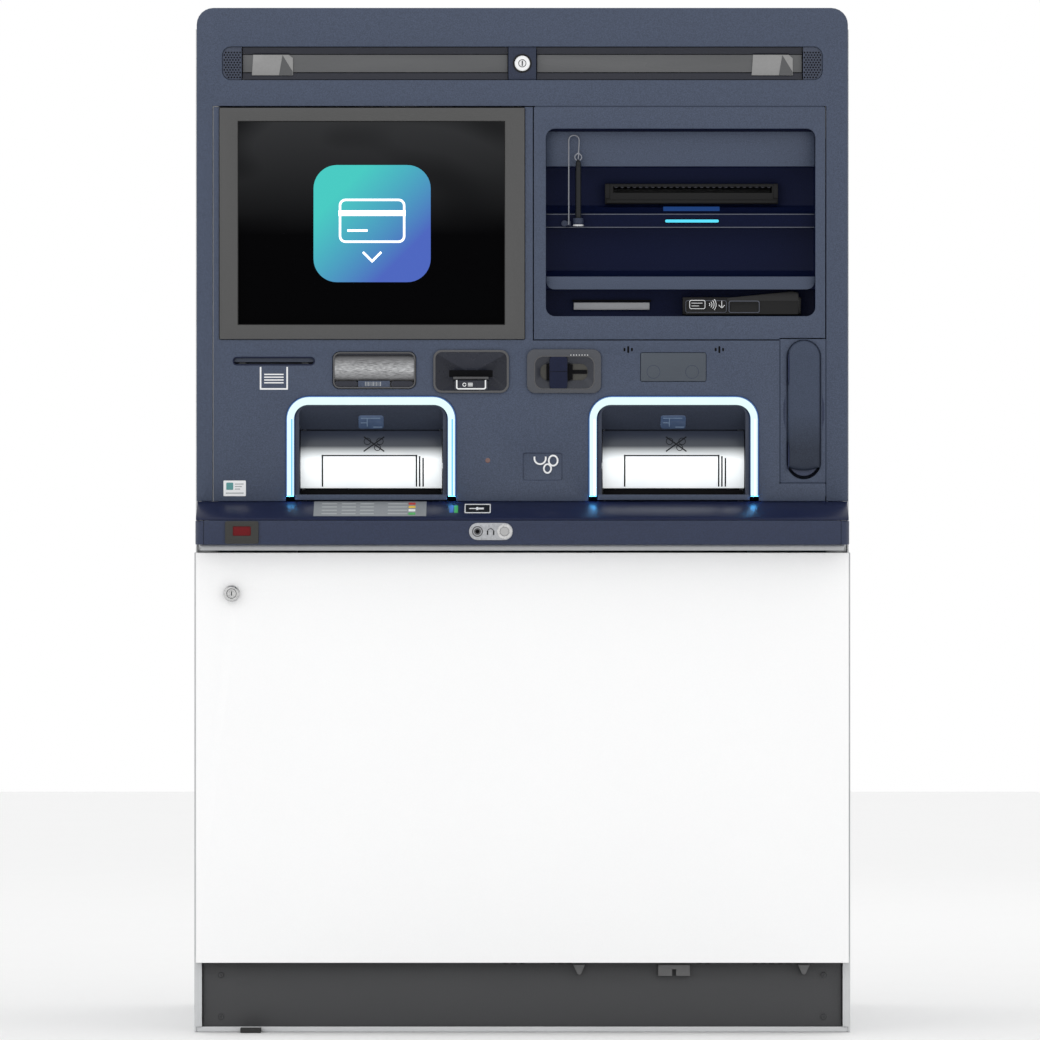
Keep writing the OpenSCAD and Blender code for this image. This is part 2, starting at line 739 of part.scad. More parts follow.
module fascia_lock() color("white") union() {
    round_y(0, head_mid, lock_r, y_face + 0.5, y_back + 27);
    block([-7, 7], [y_back + 26, y_back + 29], [head_mid - 30, head_mid + 7]);
}

// ---- Screen ----

module screen_frame() color("gray") difference() {
    slab(y_face - 2, y_back + 1) polygon([
        [screen_x, screen_z], [screen_x + screen_frame_w, screen_z],
        [screen_x + screen_frame_w, screen_z + screen_frame_h - 1 - fit_gap],
        [screen_x, screen_z + screen_frame_h - 1 - fit_gap]]);
    slab(y_face - 3, y_back + 2) polygon([
        [screen_x + screen_rim, screen_z + screen_rim_z],
        [screen_x + screen_frame_w - screen_rim - 2, screen_z + screen_rim_z],
        [screen_x + screen_frame_w - screen_rim - 2, screen_z + screen_frame_h - screen_rim_z],
        [screen_x + screen_rim, screen_z + screen_frame_h - screen_rim_z]]);
}

module display_panel() color("black") union() {
    block([screen_x + screen_rim + 0.5, screen_x + screen_frame_w - screen_rim - 2.5],
          [y_face + 3, y_back + 2],
          [screen_z + screen_rim_z + 0.5, screen_z + screen_frame_h - screen_rim_z - 0.5]);
    block([screen_x + 18, screen_x + screen_frame_w - 14], [y_back + 1, y_back + 40],
          [screen_z + 12, screen_z + screen_frame_h - 12]);
}

// ---- Alcove ----

module alcove_liner() color("midnightblue") difference() {
    x = [alcove_x[0] - liner_t, alcove_x[1] + liner_t];
    union() {
        difference() {
            slab(y_back, alcove_back + liner_t)
                polygon(round_box(x[0], alcove_z[0] - liner_t, x[1], alcove_z[1] + liner_t,
                                  alcove_r + liner_t));
            slab(y_back - 1, alcove_back)
                polygon(round_box(alcove_x[0], alcove_z[0], alcove_x[1], alcove_z[1], alcove_r));
        }
        // Brow
        along_x(alcove_x[0] - 1, alcove_x[1] + 1) polygon([
            [brow_y, alcove_z[1] - 4], [brow_y + 4, brow_low], [alcove_back + 1, brow_low],
            [alcove_back + 1, alcove_z[1] + 1], [brow_y, alcove_z[1] + 1]]);
        // Rib that carries the lamp and the pen
        along_x(alcove_x[0] - 1, alcove_x[1] + 1) polygon([
            [rib_y, rib_z[0]], [alcove_back + 1, rib_z[0]], [alcove_back + 1, rib_z[1] + 14],
            [rib_y, rib_z[1]]]);
        // Crossbar over the reader tray
        along_x(alcove_x[0] - 1, alcove_x[1] + 1) polygon([
            [bar_y, bar_z[0]], [alcove_back + 1, bar_z[0]], [alcove_back + 1, bar_z[1] + 10],
            [bar_y, bar_z[1]]]);
        // Sloped floor behind the reader tray
        along_x(alcove_x[0] - 1, alcove_x[1] + 1) polygon([
            [floor_y, alcove_z[0] - 1], [alcove_back + 1, alcove_z[0] - 1], [alcove_back + 1, bar_z[0] + 1],
            [floor_y + 4, bar_z[0] + 1]]);
    }
    // Paper way of the statement printer
    block([slip_x + 12, slip_x + slip_w - 9], [alcove_back - 2, alcove_back + liner_t + 1],
          [slip_z[0] + 16.5, slip_z[0] + 25]);
}

module statement_printer() color("darkslategray") difference() {
    block([slip_x - 10, slip_x + slip_w + 10], [alcove_back + liner_t + 1, alcove_back + 95],
          [slip_z[0] - 40, slip_z[1] + 30]);
    block([slip_x + 12, slip_x + slip_w - 9], [alcove_back + liner_t, alcove_back + 60],
          [slip_z[0] + 16.5, slip_z[0] + 25]);
}

module statement_mouth() color("black") difference() {
    block([slip_x, slip_x + slip_w], [alcove_back - 16, alcove_back], [slip_z[0], slip_z[1]]);
    block([slip_x + 12, slip_x + slip_w - 9], [alcove_back - 17, alcove_back + 1],
          [slip_z[0] + 16.5, slip_z[0] + 25]);
}

lamp_x = alcove_x[1] - 215;
module alcove_lamp() color("cyan")
    slab(rib_y - 3, rib_y)
        polygon(round_box(lamp_x, rib_z[0] + 6.2, lamp_x + 77, rib_z[0] + 12, 2.8));

reader_x = [alcove_x[1] - 189.9, alcove_x[1] - 19.6];
module contactless_reader() color("black") union() {
    block(reader_x, [y_face + 24, floor_y], [alcove_z[0] + 2.6, alcove_z[0] + 28]);
    along_x(reader_x[0] + 4, reader_x[1] - 4) polygon([
        [y_face + 14, alcove_z[0] + 3], [y_face + 25, alcove_z[0] + 3], [y_face + 25, alcove_z[0] + 27]]);
}

module deposit_strip() color("gainsboro")
    block([alcove_x[0] + 40.2, alcove_x[0] + 149.2], [floor_y - 4, floor_y],
          [alcove_z[0] + 10.1, alcove_z[0] + 20.5]);

module pen_holder() color("lightgray") union() {
    difference() {
        upright([pen_x, pen_y], pen_d / 2 + 3.2, rib_z[0] + 4.5, rib_z[0] + 13);
        upright([pen_x, pen_y], pen_d / 2 + 0.4, rib_z[0] + 6, rib_z[0] + 14);
    }
    block([pen_x - 3, pen_x + 3], [pen_y + 5.5, rib_y], [rib_z[0] + 4.5, rib_z[0] + 13]);
    // Foot of the tether
    round_y(tether_foot[0] - 6.3, tether_foot[2], 4.3, pen_y + 1.4, rib_y);
    block([tether_foot[0] - 7, tether_foot[0] + 3], [pen_y + 1.4, rib_y - 2],
          [tether_foot[2] - 3, tether_foot[2] + 3]);
}

module pen() color("darkslategray") union() {
    upright([pen_x, pen_y], pen_d / 2, pen_z, pen_z + pen_l - 2);
    upright([pen_x, pen_y], pen_d / 2 - 1.2, pen_z + pen_l - 3, pen_z + pen_l);
}

// The tether rises from its foot, arches over and comes down to the pen
tether_bend = 7.5;
tether_end = pen_z + pen_l + 1;
tether_start = tether_foot[2] - 2;
tether_arch = tether_high - tether_bend;
tether_turn = tether_foot[0] + 2 * tether_bend;
tether_route = concat(
    [for (i = [0:12]) [tether_foot[0], pen_y, tether_start + (tether_arch - tether_start) * i / 12]],
    [for (a = [165:-15:0]) [tether_foot[0] + tether_bend + tether_bend * cos(a), pen_y,
                            tether_arch + tether_bend * sin(a)]],
    [for (i = [1:4]) [tether_turn - (tether_turn - pen_x) * i / 4, pen_y,
                      tether_arch - (tether_arch - tether_end) * i / 4]]);
module sweep_xz(route, r, sides = 8) {
    last = len(route) - 1;
    function way(i) = let (a = route[max(i - 1, 0)], b = route[min(i + 1, last)])
        atan2(b[2] - a[2], b[0] - a[0]);
    rings = [for (i = [0:last], k = [0:sides - 1])
        let (t = way(i), c = r * cos(k * 360 / sides), s = r * sin(k * 360 / sides))
        [route[i][0] - c * sin(t), route[i][1] + s, route[i][2] + c * cos(t)]];
    walls = [for (i = [0:last - 1], k = [0:sides - 1])
        let (n = (k + 1) % sides)
        [i * sides + k, i * sides + n, (i + 1) * sides + n, (i + 1) * sides + k]];
    first_cap = [[for (k = [sides - 1:-1:0]) k]];
    last_cap = [[for (k = [0:sides - 1]) last * sides + k]];
    polyhedron(points = rings, faces = concat(first_cap, walls, last_cap), convexity = 4);
}
module pen_tether() color("whitesmoke")
    sweep_xz(tether_route, tether_d / 2);

// ---- Readers ----

module receipt_printer() color("darkslategray") difference() {
    block([receipt_x[0] + 8, receipt_x[1] - 8], [y_back, y_back + 120],
          [receipt_z[0] - 34, receipt_z[1] + 12]);
    block([receipt_x[0] + 18, receipt_x[1] - 18], [y_back - 1, y_back + 90],
          [receipt_z[0] + 2, receipt_z[1] - 2]);
}

module code_scanner() color("silver") union() {
    mid = (code_z[0] + code_z[1]) / 2;
    difference() {
        slab(y_face - 1, y_back + 30)
            polygon(round_box(code_x, code_z[0], code_x + code_w, code_z[1], 9.5));
        slab(y_face - 2, y_back + 10)
            polygon(round_box(code_x + 2, code_z[0] + 2, code_x + code_w - 2, code_z[1] - 2, 8));
    }
    round_x(y_back + 6, mid, 14, code_x + 1.5, code_x + code_w - 1.5);
}

// A mouth piece: a rounded flange with a tapered funnel behind it
module card_mouth() color("dimgray") difference() {
    mid_z = (card_z[0] + card_z[1]) / 2;
    slot_x = [card_x + 24.6, card_x + 83.1];
    union() {
        slab(y_face - mouth_proud, y_face)
            polygon(round_box(card_x, card_z[0], card_x + card_w, card_z[1], 12));
        slab(y_face - 1, y_back + 16)
            polygon(round_box(card_x + 3.6, card_z[0] + 3.6, card_x + card_w - 3.6, card_z[1] - 3.6, 9));
    }
    slab(y_face - mouth_proud - 1, y_face + 5)
        polygon(round_box(card_x + 6.6, card_z[0] + 6.6, card_x + card_w - 6.6, card_z[1] - 6.6, 7));
    slab(y_face + 4, y_face + 14) polygon([
        [slot_x[0] - 6, card_z[0] + 14], [slot_x[1] + 6, card_z[0] + 14],
        [slot_x[1] + 6, card_z[1] - 14], [slot_x[0] - 6, card_z[1] - 14]]);
    block(slot_x, [y_face, y_back + 17], [mid_z - 7, mid_z + 1]);
}

module card_reader() color("darkslategray") difference() {
    mid_z = (card_z[0] + card_z[1]) / 2;
    block([card_x + 16, card_x + 92], [y_back + 16, y_back + 150], [mid_z - 32, mid_z + 28]);
    block([card_x + 24.6, card_x + 83.1], [y_back + 15, y_back + 130], [mid_z - 7, mid_z + 1]);
}

module dip_reader() color("gray") difference() {
    mid = (dip_z[0] + dip_z[1]) / 2 - 1;
    union() {
        slab(y_face - mouth_proud, y_face)
            polygon(round_box(dip_x, dip_z[0], dip_x + dip_w, dip_z[1], 12));
        slab(y_face - 1, y_back + 60)
            polygon(round_box(dip_x + 3.6, dip_z[0] + 3.6, dip_x + dip_w - 3.6, dip_z[1] - 3.6, 9));
    }
    difference() {
        slab(y_face - mouth_proud - 1, y_back + 10)
            polygon(round_box(dip_x + 19.2, mid - 12, dip_x + 87.3, mid + 12, 11));
        block([dip_x + 32.4, dip_x + 58.1], [y_face - mouth_proud - 3, y_back + 12], [mid - 30, mid + 30]);
    }
    block([dip_x + 60, dip_x + 86], [y_back, y_back + 50], [mid - 3, mid + 3]);
}

module blank_plate() color("slategray")
    slab(y_face - 0.5, y_face + 1)
        polygon(round_box(blank_x[0] + 3.5, blank_z[0] + 3.5, blank_x[1] - 3.5, blank_z[1] - 3.5, 2.5));

// ---- Handset ----

module handset_cradle() color("slategray") difference() {
    depth = 32;
    slab(y_back, y_back + depth) polygon(recess_outline(3));
    slab(y_back - 1, y_back + depth - 4) polygon(recess_outline(0));
}

module handset() color("slategray") union() {
    r = handset_w / 2;
    outline = concat(
        arc(hs_mid, hs_top - r, r, 0, 180, 16),
        arc(hs_mid, hs_low + 52, 56.5, 246, 294, 8));
    slab(y_face - 8, y_face + 12) polygon(outline);
    // Ear and mouth pieces that sit in the cradle
    for (z = [hs_top - r, hs_low + r + 2])
        round_y(hs_mid, z, r - 3, y_face + 11, y_face + 30);
}

// ---- Cash units ----

function throat_outline(s) =
    round_top(s * cash_x - throat_out, cash_z[0], s * cash_x + throat_out, cash_z[1] + 1.4, 22);
module cash_throat(s) difference() {
    union() {
        difference() {
            slab(y_face + 2, y_face + throat_depth)
                polygon(throat_outline(s));
            slab(y_face + 1, y_face + throat_depth + 1)
                polygon(round_top(s * cash_x - cash_w / 2, cash_z[0] + 8, s * cash_x + cash_w / 2,
                                  cash_z[1] - 2, 12));
        }
        // Sloping hood over the shutter
        intersection() {
            slab(y_face + 2, shutter_axis[0] + 1)
                polygon(throat_outline(s));
            along_x(s * cash_x - cash_w / 2 - 1, s * cash_x + cash_w / 2 + 1) polygon(concat(
                [[y_face + 3, cash_z[1] - 1], [y_face + 3, cash_z[1] - 3]],
                [for (a = [shutter_high:6:90])
                    [shutter_axis[0] - hood_r * cos(a), shutter_axis[1] + hood_r * sin(a)]],
                [[shutter_axis[0], cash_z[1] - 1]]));
        }
    }
    round_x(shutter_axis[0], shutter_axis[1], stub_r + pin_gap, s * cash_x - throat_out - 1,
            s * cash_x + throat_out + 1);
}
module cash_throats() color("midnightblue")
    for (s = [-1, 1])
        cash_throat(s);

module shutter(s) color("whitesmoke") union() {
    w = cash_w / 2 - 1.5;
    sector = concat([[0, 0]], [for (a = [shutter_low:4:shutter_high])
        [-(shutter_r - 1) * cos(a), (shutter_r - 1) * sin(a)]]);
    translate([s * cash_x - w, shutter_axis[0], shutter_axis[1]])
        rotate([0, 90, 0])
            rotate([0, 0, -90 - shutter_high])
                rotate_extrude(angle = shutter_high - shutter_low)
                    translate([shutter_r - shutter_t, 0])
                        square([shutter_t, 2 * w]);
    for (x = [-w, w - 3])
        translate([s * cash_x + x, shutter_axis[0], shutter_axis[1]])
            rotate([90, 0, 90])
                linear_extrude(3)
                    polygon(sector);
    for (x = [-w, w - 4])
        round_x(shutter_axis[0], shutter_axis[1], 9, s * cash_x + x, s * cash_x + x + 4);
    for (x = [[-throat_out, -w + 1], [w - 1, throat_out]])
        round_x(shutter_axis[0], shutter_axis[1], stub_r, s * cash_x + x[0], s * cash_x + x[1]);
}
module left_shutter() shutter(-1);
module right_shutter() shutter(1);

module light_bands() color("paleturquoise")
    for (s = [-1, 1])
        slab(y_face - 2, y_back) difference() {
            polygon(round_top(s * cash_x - band_out, z_shelf + 7.4, s * cash_x + band_out, z_band, band_r));
            polygon(round_top(s * cash_x - band_in, z_shelf, s * cash_x + band_in, z_band - band_w + 1.2,
                              band_r - band_w));
        }

// ---- Bumper trim ----

module audio_plate() color("silver") difference() {
    slab(y_bumper - 1.5, y_bumper)
        polygon(round_box(audio_x[0], audio_z[0], audio_x[1], audio_z[1],
                          (audio_z[1] - audio_z[0]) / 2 - 0.01));
    mid = (audio_z[0] + audio_z[1]) / 2;
    round_y(button_x, mid, button_r + pin_gap, y_bumper - 2, y_bumper + 1);
    round_y(audio_x[0] + 12.1, mid, 2.9, y_bumper - 2, y_bumper + 1);
}

module volume_button() color("gainsboro") union() {
    mid = (audio_z[0] + audio_z[1]) / 2;
    round_y(button_x, mid, button_r, y_nose, y_bumper + 8);
    round_y(button_x, mid, button_r + 3, y_bumper + 5.5, y_bumper + 8);
}

base_plate();
foot_block();
plinth();
left_side_panel();
right_side_panel();
top_panel();
rear_panel();
upper_frame();
equipment_deck();
safe_body();
safe_hinges();
cassettes();
left_note_head();
right_note_head();
computer();
power_supply();
lower_door_hinges();
fascia_hinges();
door_catches();
lower_door();
lower_door_lock();
safe_door();
safe_handle();
safe_bolts();
fascia_frame();
fascia_header();
main_panel();
alcove_panel();
handset_panel();
shelf();
bumper();
header_light();
speaker_grilles();
lock_block();
fascia_lock();
screen_frame();
display_panel();
alcove_liner();
statement_printer();
statement_mouth();
alcove_lamp();
contactless_reader();
deposit_strip();
pen_holder();
pen();
pen_tether();
receipt_printer();
code_scanner();
card_mouth();
card_reader();
dip_reader();
blank_plate();
handset_cradle();
handset();
cash_throats();
left_shutter();
right_shutter();
light_bands();
audio_plate();
volume_button();
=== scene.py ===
"""Looks of a wide cash recycling machine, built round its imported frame.

Every length in this file is in millimetres until a piece is finished, which turns it into metres.
X is the width, -Y is where the customer stands and Z is the height above the floor.
"""

import json
import math

import bmesh
import bpy
from mathutils import Matrix, Vector


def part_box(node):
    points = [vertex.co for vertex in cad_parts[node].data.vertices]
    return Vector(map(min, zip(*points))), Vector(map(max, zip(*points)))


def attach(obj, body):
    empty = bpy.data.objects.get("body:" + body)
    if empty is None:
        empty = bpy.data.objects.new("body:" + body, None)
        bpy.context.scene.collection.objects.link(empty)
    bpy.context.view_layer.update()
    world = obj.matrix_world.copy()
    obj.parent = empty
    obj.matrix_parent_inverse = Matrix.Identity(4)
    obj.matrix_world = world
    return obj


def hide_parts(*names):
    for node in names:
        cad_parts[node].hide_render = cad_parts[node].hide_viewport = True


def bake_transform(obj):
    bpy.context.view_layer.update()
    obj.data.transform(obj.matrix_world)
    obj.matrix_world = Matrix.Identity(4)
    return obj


bl_info = {
    "name": "Cash recycling machine",
    "version": (1, 0, 0),
    "blender": (4, 5, 0),
    "location": "View3D > Sidebar > Cash machine",
    "description": "Builds the looks of a free-standing cash recycling machine round its frame",
    "category": "Object",
}

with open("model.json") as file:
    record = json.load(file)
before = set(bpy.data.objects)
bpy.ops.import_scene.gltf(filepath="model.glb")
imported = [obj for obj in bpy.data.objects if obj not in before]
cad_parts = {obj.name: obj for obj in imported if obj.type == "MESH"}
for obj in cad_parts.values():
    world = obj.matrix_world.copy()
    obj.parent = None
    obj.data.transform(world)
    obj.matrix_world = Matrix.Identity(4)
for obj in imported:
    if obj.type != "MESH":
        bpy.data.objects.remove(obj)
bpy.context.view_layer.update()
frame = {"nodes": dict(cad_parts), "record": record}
MM = 0.001
SKIN = 0.25  # how far a printed mark stands off what it is printed on
SCREW_R = 4.0  # head of a panel screw
SCREW_SEAT = 2.2  # how deep a panel screw sits


# ---- Measuring ----


class Extent:
    """The box of a CAD node, in millimetres."""

    def __init__(self, node):
        low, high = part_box(node)
        self.x0, self.y0, self.z0 = (v / MM for v in low)
        self.x1, self.y1, self.z1 = (v / MM for v in high)

    @property
    def x(self):
        return (self.x0 + self.x1) / 2

    @property
    def y(self):
        return (self.y0 + self.y1) / 2

    @property
    def z(self):
        return (self.z0 + self.z1) / 2


HEADER = Extent("fascia_header")
FACE_Y = HEADER.y0  # front plane of the fascia
HALF = HEADER.x1  # half the width of the fascia
BUMPER = Extent("bumper")
SHELF = Extent("shelf")
SCREEN = Extent("screen_frame")
LINER = Extent("alcove_liner")
DOOR = Extent("lower_door")
PLINTH = Extent("plinth")
SPLIT = (DOOR.z1 + 1.2, DOOR.z1 + 2.8)  # the seam between the cabinet's lower and upper panels


# ---- Shapes ----


def absorb(bm, part, turn=None):
    """Adds a finished part to bm, turned first by a matrix if one is given."""
    if turn is not None:
        bmesh.ops.transform(part, matrix=turn, verts=part.verts)
    carrier = bpy.data.meshes.new("carrier")
    part.to_mesh(carrier)
    part.free()
    bm.from_mesh(carrier)
    bpy.data.meshes.remove(carrier)


def soften(bm, width, segments=2, angle=0.6):
    """Rounds every edge of bm whose faces meet at more than an angle."""
    edges = [e for e in bm.edges if len(e.link_faces) == 2 and e.calc_face_angle(0.0) > angle]
    bmesh.ops.bevel(bm, geom=edges, offset=width, offset_type="OFFSET", segments=segments,
                    profile=0.5, affect="EDGES", clamp_overlap=False, material=-1)


def loop(bm, corners, closed=True):
    """Edges through corners in order, and back to the first one if closed."""
    verts = [bm.verts.new(corner) for corner in corners]
    return [bm.edges.new(pair) for pair in zip(verts, verts[1:] + (verts[:1] if closed else []))]


def push(bm, reach):
    """Gives the open faces of bm a thickness."""
    made = bmesh.ops.extrude_face_region(bm, geom=list(bm.faces))["geom"]
    bmesh.ops.translate(bm, vec=reach, verts=[g for g in made if isinstance(g, bmesh.types.BMVert)])
    bmesh.ops.recalc_face_normals(bm, faces=bm.faces)


def block(bm, x, y, z, corner=0.0, along="Y", soft=0.0, corner_steps=5):
    """A box from corner to corner, with its edges along one axis rounded, then all of them softened."""
    part = bmesh.new()
    bmesh.ops.create_cube(part, size=1.0)
    size = Vector((x[1] - x[0], y[1] - y[0], z[1] - z[0]))
    middle = Vector(((x[0] + x[1]) / 2, (y[0] + y[1]) / 2, (z[0] + z[1]) / 2))
    bmesh.ops.scale(part, vec=size, verts=part.verts)
    bmesh.ops.translate(part, vec=middle, verts=part.verts)
    if corner:
        axis = "XYZ".index(along)
        edges = [e for e in part.edges if abs(e.verts[0].co[axis] - e.verts[1].co[axis]) > 1e-6]
        bmesh.ops.bevel(part, geom=edges, offset=corner, offset_type="OFFSET", segments=corner_steps,
                        profile=0.5, affect="EDGES", clamp_overlap=True, material=-1)
    if soft:
        soften(part, soft)
    absorb(bm, part)


TO_AXIS = {
    "X": Matrix.Rotation(math.pi / 2, 4, "Y"),
    "Y": Matrix.Rotation(-math.pi / 2, 4, "X"),
    "Z": Matrix.Identity(4),
}


def lay(part, at, along):
    """Turns a part that was made along Z to an axis. at is its centre on the other two axes, in their order."""
    bmesh.ops.transform(part, matrix=TO_AXIS[along], verts=part.verts)
    offset = {"X": (0, *at), "Y": (at[0], 0, at[1]), "Z": (*at, 0)}[along]
    bmesh.ops.translate(part, vec=offset, verts=part.verts)


def rod(bm, at, along, radius, start, stop, steps=32, soft=0.0):
    """A round bar along an axis."""
    part = bmesh.new()
    bmesh.ops.create_cone(part, cap_ends=True, cap_tris=False, segments=steps, radius1=radius, radius2=radius,
                          depth=stop - start)
    bmesh.ops.translate(part, vec=(0, 0, (start + stop) / 2), verts=part.verts)
    lay(part, at, along)
    if soft:
        soften(part, soft)
    absorb(bm, part)


def turned(bm, profile, at, along="Y", steps=40):
    """A closed outline of (radius, height) points, turned a full circle round an axis."""
    part = bmesh.new()
    edges = loop(part, [(r, 0, h) for r, h in profile])
    bmesh.ops.spin(part, geom=[*edges, *part.verts], cent=(0, 0, 0), axis=(0, 0, 1), angle=2 * math.pi,
                   steps=steps, use_merge=True)
    bmesh.ops.remove_doubles(part, verts=part.verts, dist=1e-5)
    bmesh.ops.recalc_face_normals(part, faces=part.faces)
    lay(part, at, along)
    absorb(bm, part)


def ring(bm, at, outer, inner, start, stop, along="Y", steps=40):
    turned(bm, [(inner, start), (outer, start), (outer, stop), (inner, stop)], at, along, steps)


def prism(bm, outline, span, along="Y", soft=0.0):
    """An outline pushed from span[0] to span[1] along an axis. Its points are on the other two axes."""
    part = bmesh.new()
    place = {"X": lambda a, b: (span[0], a, b), "Y": lambda a, b: (a, span[0], b)}[along]
    part.faces.new([part.verts.new(place(a, b)) for a, b in outline])
    push(part, Vector([span[1] - span[0] if name == along else 0 for name in "XYZ"]))
    if soft:
        soften(part, soft)
    absorb(bm, part)


def line(bm, a, b, width, y, thick=SKIN):
    """A straight printed line between two points in X and Z, on the plane y, towards the customer."""
    part = bmesh.new()
    run = Vector((b[0] - a[0], 0, b[1] - a[1]))
    bmesh.ops.create_cube(part, size=1.0)
    bmesh.ops.scale(part, vec=(run.length + width, thick, width), verts=part.verts)
    turn = Matrix.Rotation(-math.atan2(run.z, run.x), 4, "Y")
    middle = Matrix.Translation(((a[0] + b[0]) / 2, y - thick / 2, (a[1] + b[1]) / 2))
    absorb(bm, part, middle @ turn)


def lines(bm, points, width, y, closed=False):
    """A printed line through points in X and Z, as one strip, so that nothing overlaps at its turns."""
    stops = [Vector(p) for p in points]
    if not closed:
        stops[0] = stops[0] + (stops[0] - stops[1]).normalized() * width / 2
        stops[-1] = stops[-1] + (stops[-1] - stops[-2]).normalized() * width / 2
    elif (stops[0] - stops[-1]).length < 0.01:
        stops.pop()
    sides = ([], [])
    for i, stop in enumerate(stops):
        runs = []
        if closed or i > 0:
            runs.append(stop - stops[i - 1])
        if closed or i < len(stops) - 1:
            runs.append(stops[(i + 1) % len(stops)] - stop)
        normals = [Vector((-run.y, run.x)).normalized() for run in runs]
        mitre = sum(normals, Vector((0, 0)))
        mitre *= width / 2 * len(normals) / mitre.length_squared
        sides[0].append(stop + mitre)
        sides[1].append(stop - mitre)
    part = bmesh.new()
    edges = [edge for side in sides for edge in loop(part, [(a, y - SKIN, b) for a, b in side], closed)]
    bmesh.ops.bridge_loops(part, edges=edges)
    push(part, (0, SKIN, 0))
    absorb(bm, part)


def arc_points(cx, cz, radius, start, stop, steps=12):
    """Points along an arc. Its angles are in degrees."""
    angles = [math.radians(start + (stop - start) * i / steps) for i in range(steps + 1)]
    return [(cx + radius * math.cos(a), cz + radius * math.sin(a)) for a in angles]


def round_outline(x0, x1, z0, z1, r, steps=6):
    """The corners of a rounded rectangle."""
    return (arc_points(x1 - r, z1 - r, r, 0, 90, steps) + arc_points(x0 + r, z1 - r, r, 90, 180, steps)
            + arc_points(x0 + r, z0 + r, r, 180, 270, steps) + arc_points(x1 - r, z0 + r, r, 270, 360, steps))


def frame_ring(bm, outer, inner, y0, y1, soft=0.0):
    """A plate between two outlines with the same number of points, from depth y0 to depth y1."""
    part = bmesh.new()
    edges = [edge for outline in (outer, inner) for edge in loop(part, [(a, y0, b) for a, b in outline])]
    bmesh.ops.bridge_loops(part, edges=edges)
    bmesh.ops.recalc_face_normals(part, faces=part.faces)
    push(part, (0, y1 - y0, 0))
    if soft:
        soften(part, soft)
    absorb(bm, part)


def rim(bm, x, z, insets, radii, y, soft=0.0, steps=6):
    """A frame with rounded corners. insets and radii are those of its outer and of its inner edge."""
    edges = [round_outline(x[0] + inset, x[1] - inset, z[0] + inset, z[1] - inset, radius, steps)
             for inset, radius in zip(insets, radii)]
    frame_ring(bm, *edges, *y, soft)


def funnel(rim_line, rim_y, mouth, mouth_y, wall=1.2):
    """A thin wall that runs in from a rim to a mouth behind it with as many points."""
    bm = bmesh.new()
    edges = [edge for outline, y in ((rim_line, rim_y), (mouth, mouth_y))
             for edge in loop(bm, [(a, y, b) for a, b in outline])]
    bmesh.ops.bridge_loops(bm, edges=edges)
    bmesh.ops.recalc_face_normals(bm, faces=bm.faces)
    if sum(f.normal.y for f in bm.faces) > 0:
        bmesh.ops.reverse_faces(bm, faces=bm.faces)
    bmesh.ops.solidify(bm, geom=list(bm.faces), thickness=wall)
    bmesh.ops.recalc_face_normals(bm, faces=bm.faces)
    return bm


def merged_copy(node):
    """A CAD node's shape as clean faces, in millimetres."""
    bm = bmesh.new()
    bm.from_mesh(frame["nodes"][node].data)
    bmesh.ops.scale(bm, vec=(1 / MM,) * 3, verts=bm.verts)
    bmesh.ops.remove_doubles(bm, verts=bm.verts, dist=0.01)
    bmesh.ops.dissolve_limit(bm, angle_limit=math.radians(0.5), verts=bm.verts, edges=bm.edges)
    return bm


# ---- Finishing pieces ----


def piece(name, bm, body, material, smooth=35, replaces=()):
    """Turns bm into a finished piece that rides on a body."""
    bmesh.ops.scale(bm, vec=(MM,) * 3, verts=bm.verts)
    mesh = bpy.data.meshes.new(name)
    bm.to_mesh(mesh)
    bm.free()
    for face in mesh.polygons:
        face.use_smooth = True
    mesh.set_sharp_from_angle(angle=math.radians(smooth))
    mesh.materials.append(finish_of(material))
    made = bpy.data.objects.new(name, mesh)
    bpy.context.scene.collection.objects.link(made)
    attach(made, body)
    if replaces:
        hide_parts(*replaces)


def finish_of(name):
    return bpy.data.materials[name + "_finish"]


def body_of(node):
    return next(b for b, nodes in frame["record"]["behaviour"]["bodies"].items() if node in nodes)


def slot_of(node):
    return next(s["material_slot"] for s in frame["record"]["subparts"] if s["node"] == node)


def refined(node, soft, material=None, name=None, smooth=35, segments=2, angle=0.5):
    """A CAD node with its sharp edges rounded, standing for the node."""
    bm = merged_copy(node)
    soften(bm, soft, segments, angle)
    piece(name or node + "_finished", bm, body_of(node), material or slot_of(node), smooth,
          replaces=(node,))


def paint(node, material=None):
    """Gives a CAD node that shows as it is its finish."""
    shown = frame["nodes"][node]
    shown.data.materials.clear()
    shown.data.materials.append(finish_of(material or slot_of(node)))


# ---- Finishes ----


